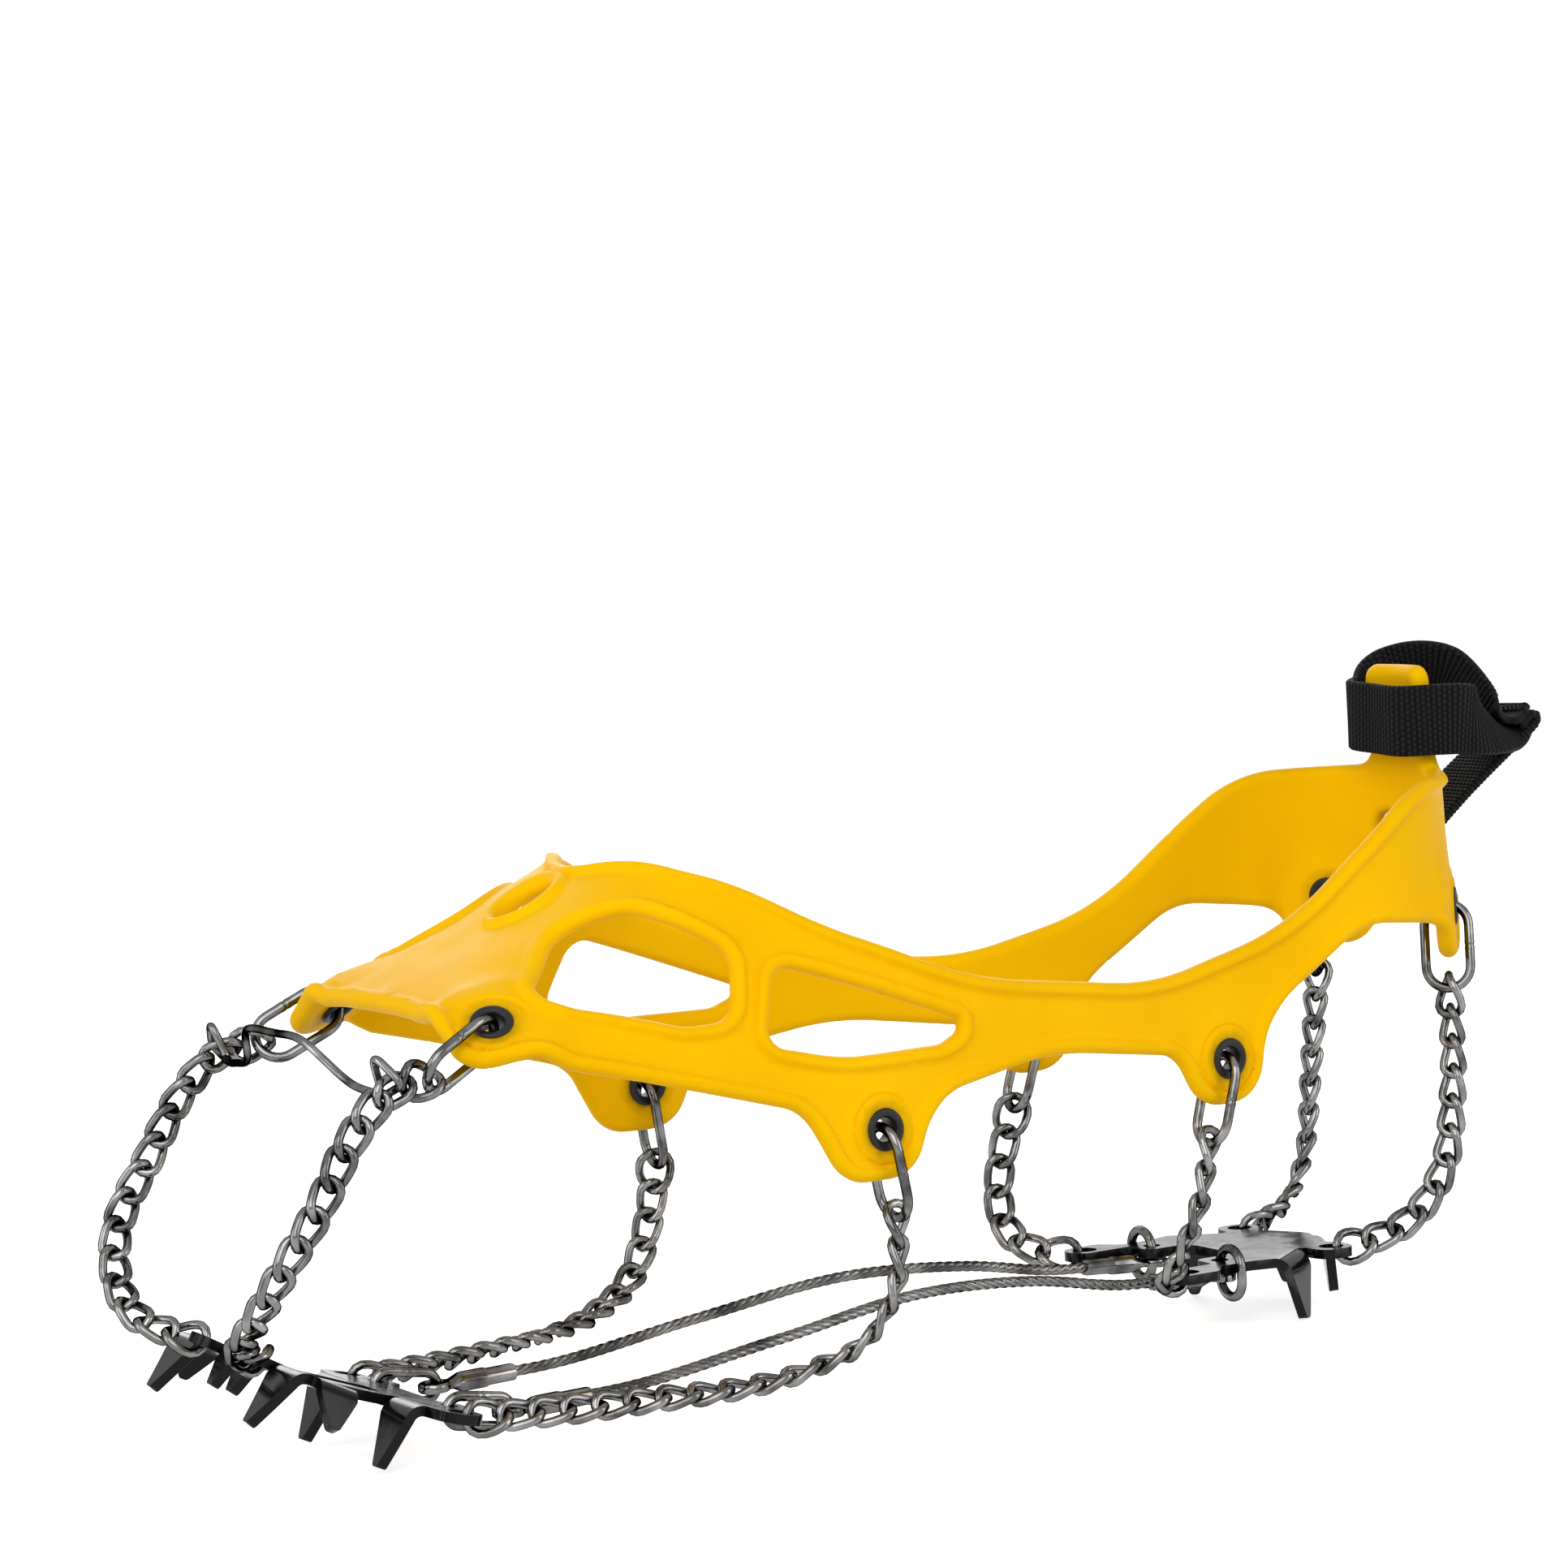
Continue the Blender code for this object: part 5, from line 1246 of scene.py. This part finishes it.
def make_cable(name, hand):
    start, end = (eye + way * (terminal_reach - cable_bite) for eye, way in terminals.values())
    back, ahead = (way for _, way in terminals.values())
    arch = [(20.0, cable_offset, 12.5), (-15.0, (cable_offset + heel_cable_offset) / 2.0, 16.6),
            (-42.0, heel_cable_offset, 15.0)]
    fine = smooth_route([start, start + back * cable_lead, *arch, end + ahead * cable_lead, end], cable_step)
    shape = wire(fine, cable_diameter / 2.0, rope_sides, False, rope=True)
    add_piece(f"{name}_rope", shape, steel, ROOT, name, hand=hand)


def make_link(name, centre, long_axis, short_axis, length, width, hand):
    shape = welded_oblong(centre, long_axis, short_axis, length - cable_link_wire, width - cable_link_wire,
                          cable_link_wire / 2.0, 24, -1.0)
    add_piece(f"{name}_welded", shape, steel, name, name, hand=hand)


def make_links(label, hand):
    across, up = np.array([0.0, 1.0, 0.0]), np.array([0.0, 0.0, 1.0])
    make_link(f"front_cable_link_{label}", front_link_centre, link_back, np.cross(link_back, across),
              cable_link_length, cable_link_width, hand)
    centre = (heel_hole + terminals["heel"][0]) / 2.0 + across * (heel_link_width - cable_link_wire) / 2.0
    make_link(f"heel_cable_link_{label}", centre, up, across, heel_link_height, heel_link_width, hand)


# Bail

def make_bail():
    """A wire over the toes, each end bent round the second link of a front chain."""
    bearings, sides, rolls = chain_frames["front"]
    axis = unit(bearings[2] - bearings[1])
    middle = (bearings[1] + bearings[2]) / 2.0 + axis * bail_shift
    crown = np.array([bail_crown[0], 0.0, bail_crown[1]])
    side = rotate(sides[1], axis, rolls[1])
    side *= np.sign(np.dot(side, crown - middle))
    through = np.cross(axis, side)
    through *= np.sign(np.dot(through, crown - middle))
    near, far = (middle + through * way * bail_eye_base / 2.0 for way in (1.0, -1.0))
    peak = middle + side * bail_eye_height
    closing = near + unit(peak - near) * bail_eye_gap * 0.62
    away = unit((1.0, -10.0, 1.2))
    arch = smooth_route([crown, crown + np.array([0.0, 12.0, -0.3]), near + away * 10.0, near + away * 4.0],
                        1.2)
    half = list(arch)
    corners = [arch[-1], near, far, peak, closing]
    for i, corner in enumerate(corners[1:-1]):
        back, ahead = corners[i] - corner, corners[i + 2] - corner
        cut = min(bail_bends[i], np.linalg.norm(back) * 0.48, np.linalg.norm(ahead) * 0.48)
        a, b = corner + unit(back) * cut, corner + unit(ahead) * cut
        half += [a * (1.0 - t) ** 2 + corner * 2.0 * t * (1.0 - t) + b * t * t
                 for t in np.linspace(0.0, 1.0, 11)]
    half.append(closing)
    line = [p * (1.0, -1.0, 1.0) for p in reversed(half[1:])] + half
    add_piece("toe_bail_wire", wire(line, bail_wire / 2.0, bail_sides, False), steel, "toe_bail", "toe_bail",
              sharp=60.0)


# Strap

def strap_route():
    """Stations of the band and the ways across it: slot, sewn end, round the neck and back."""
    slot = form_point(heel_back_run, heel_slot_low + heel_slot_height / 2.0)
    neck = form_point(heel_back_run, strap_neck_girth)
    layer = strap_thickness + seat_gap
    inner = neck[0] + panel_thickness + strap_inner_slack + strap_thickness / 2.0
    sewn = slot + np.array([-29.0, 0.0, 22.5])
    rise = unit(sewn - slot)
    lift = np.array([rise[2], 0.0, -rise[0]])
    aside = tab_half_width + tab_flare + strap_slack + strap_thickness / 2.0
    flat, slant, tall = (0.0, 1.0, 0.0), (0.0, 0.72, -0.7), (0.0, 0.0, -1.0)
    back_slant, back_flat = (0.0, -0.72, -0.7), (0.0, -1.0, 0.0)
    height = neck[2]
    route = [
        (slot - rise * 7.0 + lift * strap_slot_lift, flat),
        (slot + lift * strap_slot_lift, flat),
        (slot + rise * 14.0 + lift * strap_slot_lift, flat),
        (sewn - rise * 5.0, flat),
        (sewn - rise * 0.8, flat),
        (sewn + rise * 0.3 + lift * layer / 2.0, flat),
        (sewn - rise * 0.8 + lift * layer, flat),
        (sewn - rise * 5.0 + lift * layer * 1.05, flat),
        ((slot[0] - 15.0, aside * 0.62, height - 2.5), slant),
        ((slot[0] - 5.0, aside * 1.02, height - 0.5), tall),
        ((neck[0] + 1.0, aside, height), tall),
        ((inner - 0.2, aside * 0.62, height), tall),
        ((inner, 0.0, height + 0.4), tall),
        ((inner - 0.2, -aside * 0.62, height + 1.0), tall),
        ((neck[0] + 1.0, -aside, height + 2.0), tall),
        ((slot[0] - 6.0, -aside * 1.05, height + 7.0), tall),
        ((slot[0] - 16.0, -aside * 0.62, height + 8.0), back_slant),
        (sewn - rise * 5.0 + lift * layer * 2.6, back_flat),
        (sewn - rise * 0.8 + lift * layer * 2.05, back_flat),
    ]
    return [np.array(column, dtype=float) for column in zip(*route)]


def make_tacks(spots, sides, runs, ends):
    """Zigzag rows of thread over the outer faces of the sewn end."""
    over = strap_thickness / 2.0 + thread_diameter / 3.0
    shapes = []
    for end in ends:
        for row in tack_rows:
            points = []
            for k in range(tack_turns + 1):
                run = end - row + tack_swing * (k % 2 - 0.5)
                i = min(max(int(np.searchsorted(runs, run)), 1), len(runs) - 1)
                along = unit(spots[i] - spots[i - 1])
                side = square_to(sides[i], along)
                aside = tack_half_width * (2.0 * k / tack_turns - 1.0)
                points.append(spots[i] + side * aside + np.cross(along, side) * over)
            shapes.append(wire(points, thread_diameter / 2.0, thread_sides, False))
    add_piece("heel_strap_tacks", joined(shapes), thread, "heel_strap")


def make_strap():
    points, widths = strap_route()
    stations = np.arange(len(points), dtype=float)
    places, starts = [], []
    for i in range(len(points) - 1):
        starts.append(len(places))
        pieces = max(int(np.linalg.norm(points[i + 1] - points[i]) / (rib_pitch / 4.0) + 0.5), 2)
        places += [i + k / pieces for k in range(pieces)]
    places.append(stations[-1])
    spots, sides = ([smooth_value(stations, rows, s) for s in places] for rows in (points, widths))
    runs = run_lengths(spots)
    half, thick = strap_width / 2.0, strap_thickness / 2.0
    outline = [(v * (half - thick * 0.6), thick) for v in np.linspace(-1.0, 1.0, 15)]
    outline += [(half - thick * 0.15, thick * 0.62), (half, 0.0), (half - thick * 0.15, -thick * 0.62)]
    outline += [(-v, -h) for v, h in outline]
    rings, uvs = [], []
    for i, spot in enumerate(spots):
        along = unit(spots[min(i + 1, len(spots) - 1)] - spots[max(i - 1, 0)])
        side = square_to(sides[i], along)
        out = np.cross(along, side)
        rib = rib_rise * abs(math.sin(math.pi * runs[i] / rib_pitch)) - rib_sink
        for v, h in outline:
            lift = rib * np.sign(h) if abs(h) == thick else 0.0
            rings.append(spot + side * v + out * (h + lift))
            uvs.append((runs[i], v))
    rings = np.reshape(rings, (len(spots), len(outline), 3))
    make_tacks(spots, sides, runs, (runs[starts[fold_station]], runs[-1]))
    add_piece("heel_strap_webbing", loft(rings, False), webbing, "heel_strap", "heel_strap", uvs=uvs)


# Stage

def background_rays(tree):
    """One for the rays that should see a white background, nought for the rays that light the object."""
    path = tree.nodes.new("ShaderNodeLightPath").outputs
    mirrors = math_node(tree, "MAXIMUM", path["Is Glossy Ray"], path["Is Transmission Ray"])
    return math_node(tree, "MAXIMUM", path["Is Camera Ray"], mirrors)


def make_camera():
    data = bpy.data.cameras.new("photo_camera")
    data.sensor_fit = "AUTO"
    data.angle = 2.0 * math.atan(photo_size / 2.0 / focal_pixels)
    data.clip_end = 20.0
    stand = Matrix.Translation(Vector((np.array(camera_eye) + frame_shift) * MM))
    for angle, axis in ((math.pi - camera_yaw, "Z"), (math.pi / 2.0 - camera_pitch, "X"),
                        (camera_roll, "Z")):
        stand = stand @ Matrix.Rotation(angle, 4, axis)
    camera = add_object("photo_camera", data)
    camera.matrix_world = stand
    bpy.context.scene.camera = camera


def make_floor():
    mesh = bpy.data.meshes.new("floor")
    corners = [(x * floor_reach, y * floor_reach, 0.0) for x, y in ((-1, -1), (1, -1), (1, 1), (-1, 1))]
    mesh.from_pydata(corners, [], [(0, 1, 2, 3)])
    material, tree, sockets = new_material("floor_paper", {
        "Base Color": (0.88, 0.88, 0.88, 1.0), "Roughness": 0.9, "Specular IOR Level": 0.1,
        "Emission Color": (1.0, 1.0, 1.0, 1.0)})
    put(tree, sockets["Emission Strength"], math_node(tree, "MULTIPLY", background_rays(tree), floor_lift))
    mesh.materials.append(material)
    floor = add_object("floor", mesh)
    floor.location = (0.0, 0.0, -floor_drop)


def make_light():
    world = bpy.data.worlds.new("studio")
    bpy.context.scene.world = world
    world.use_nodes = True
    tree = world.node_tree
    background = tree.nodes["Background"].inputs
    background["Color"].default_value = (1.0, 1.0, 1.0, 1.0)
    put(tree, background["Strength"], map_range(tree, background_rays(tree), 0.0, 1.0, world_light, 1.0))
    for name, place, power, size in lamps:
        light = bpy.data.lights.new(name, "AREA")
        light.shape = "RECTANGLE"
        light.size, light.size_y = size
        light.energy = power
        lamp = add_object(name, light)
        lamp.location = place
        lamp.rotation_euler = (Vector(lamp_aim) - Vector(place)).to_track_quat("-Z", "Y").to_euler()


bpy.context.scene.view_settings.view_transform = "Standard"
make_camera()
make_floor()
make_light()
make_harness()
for station in eyelets:
    for hand, label in HANDS:
        make_grommet(station, hand, label)
        make_ring(station, hand, label)
        make_chain(station, hand, label)
make_front_plate()
make_heel_plate()
for hand, label in HANDS:
    for end, where in terminals.items():
        make_terminal(f"{end}_terminal_{label}", *where, hand)
    make_cable(f"cable_{label}", hand)
    make_links(label, hand)
make_bail()
make_strap()
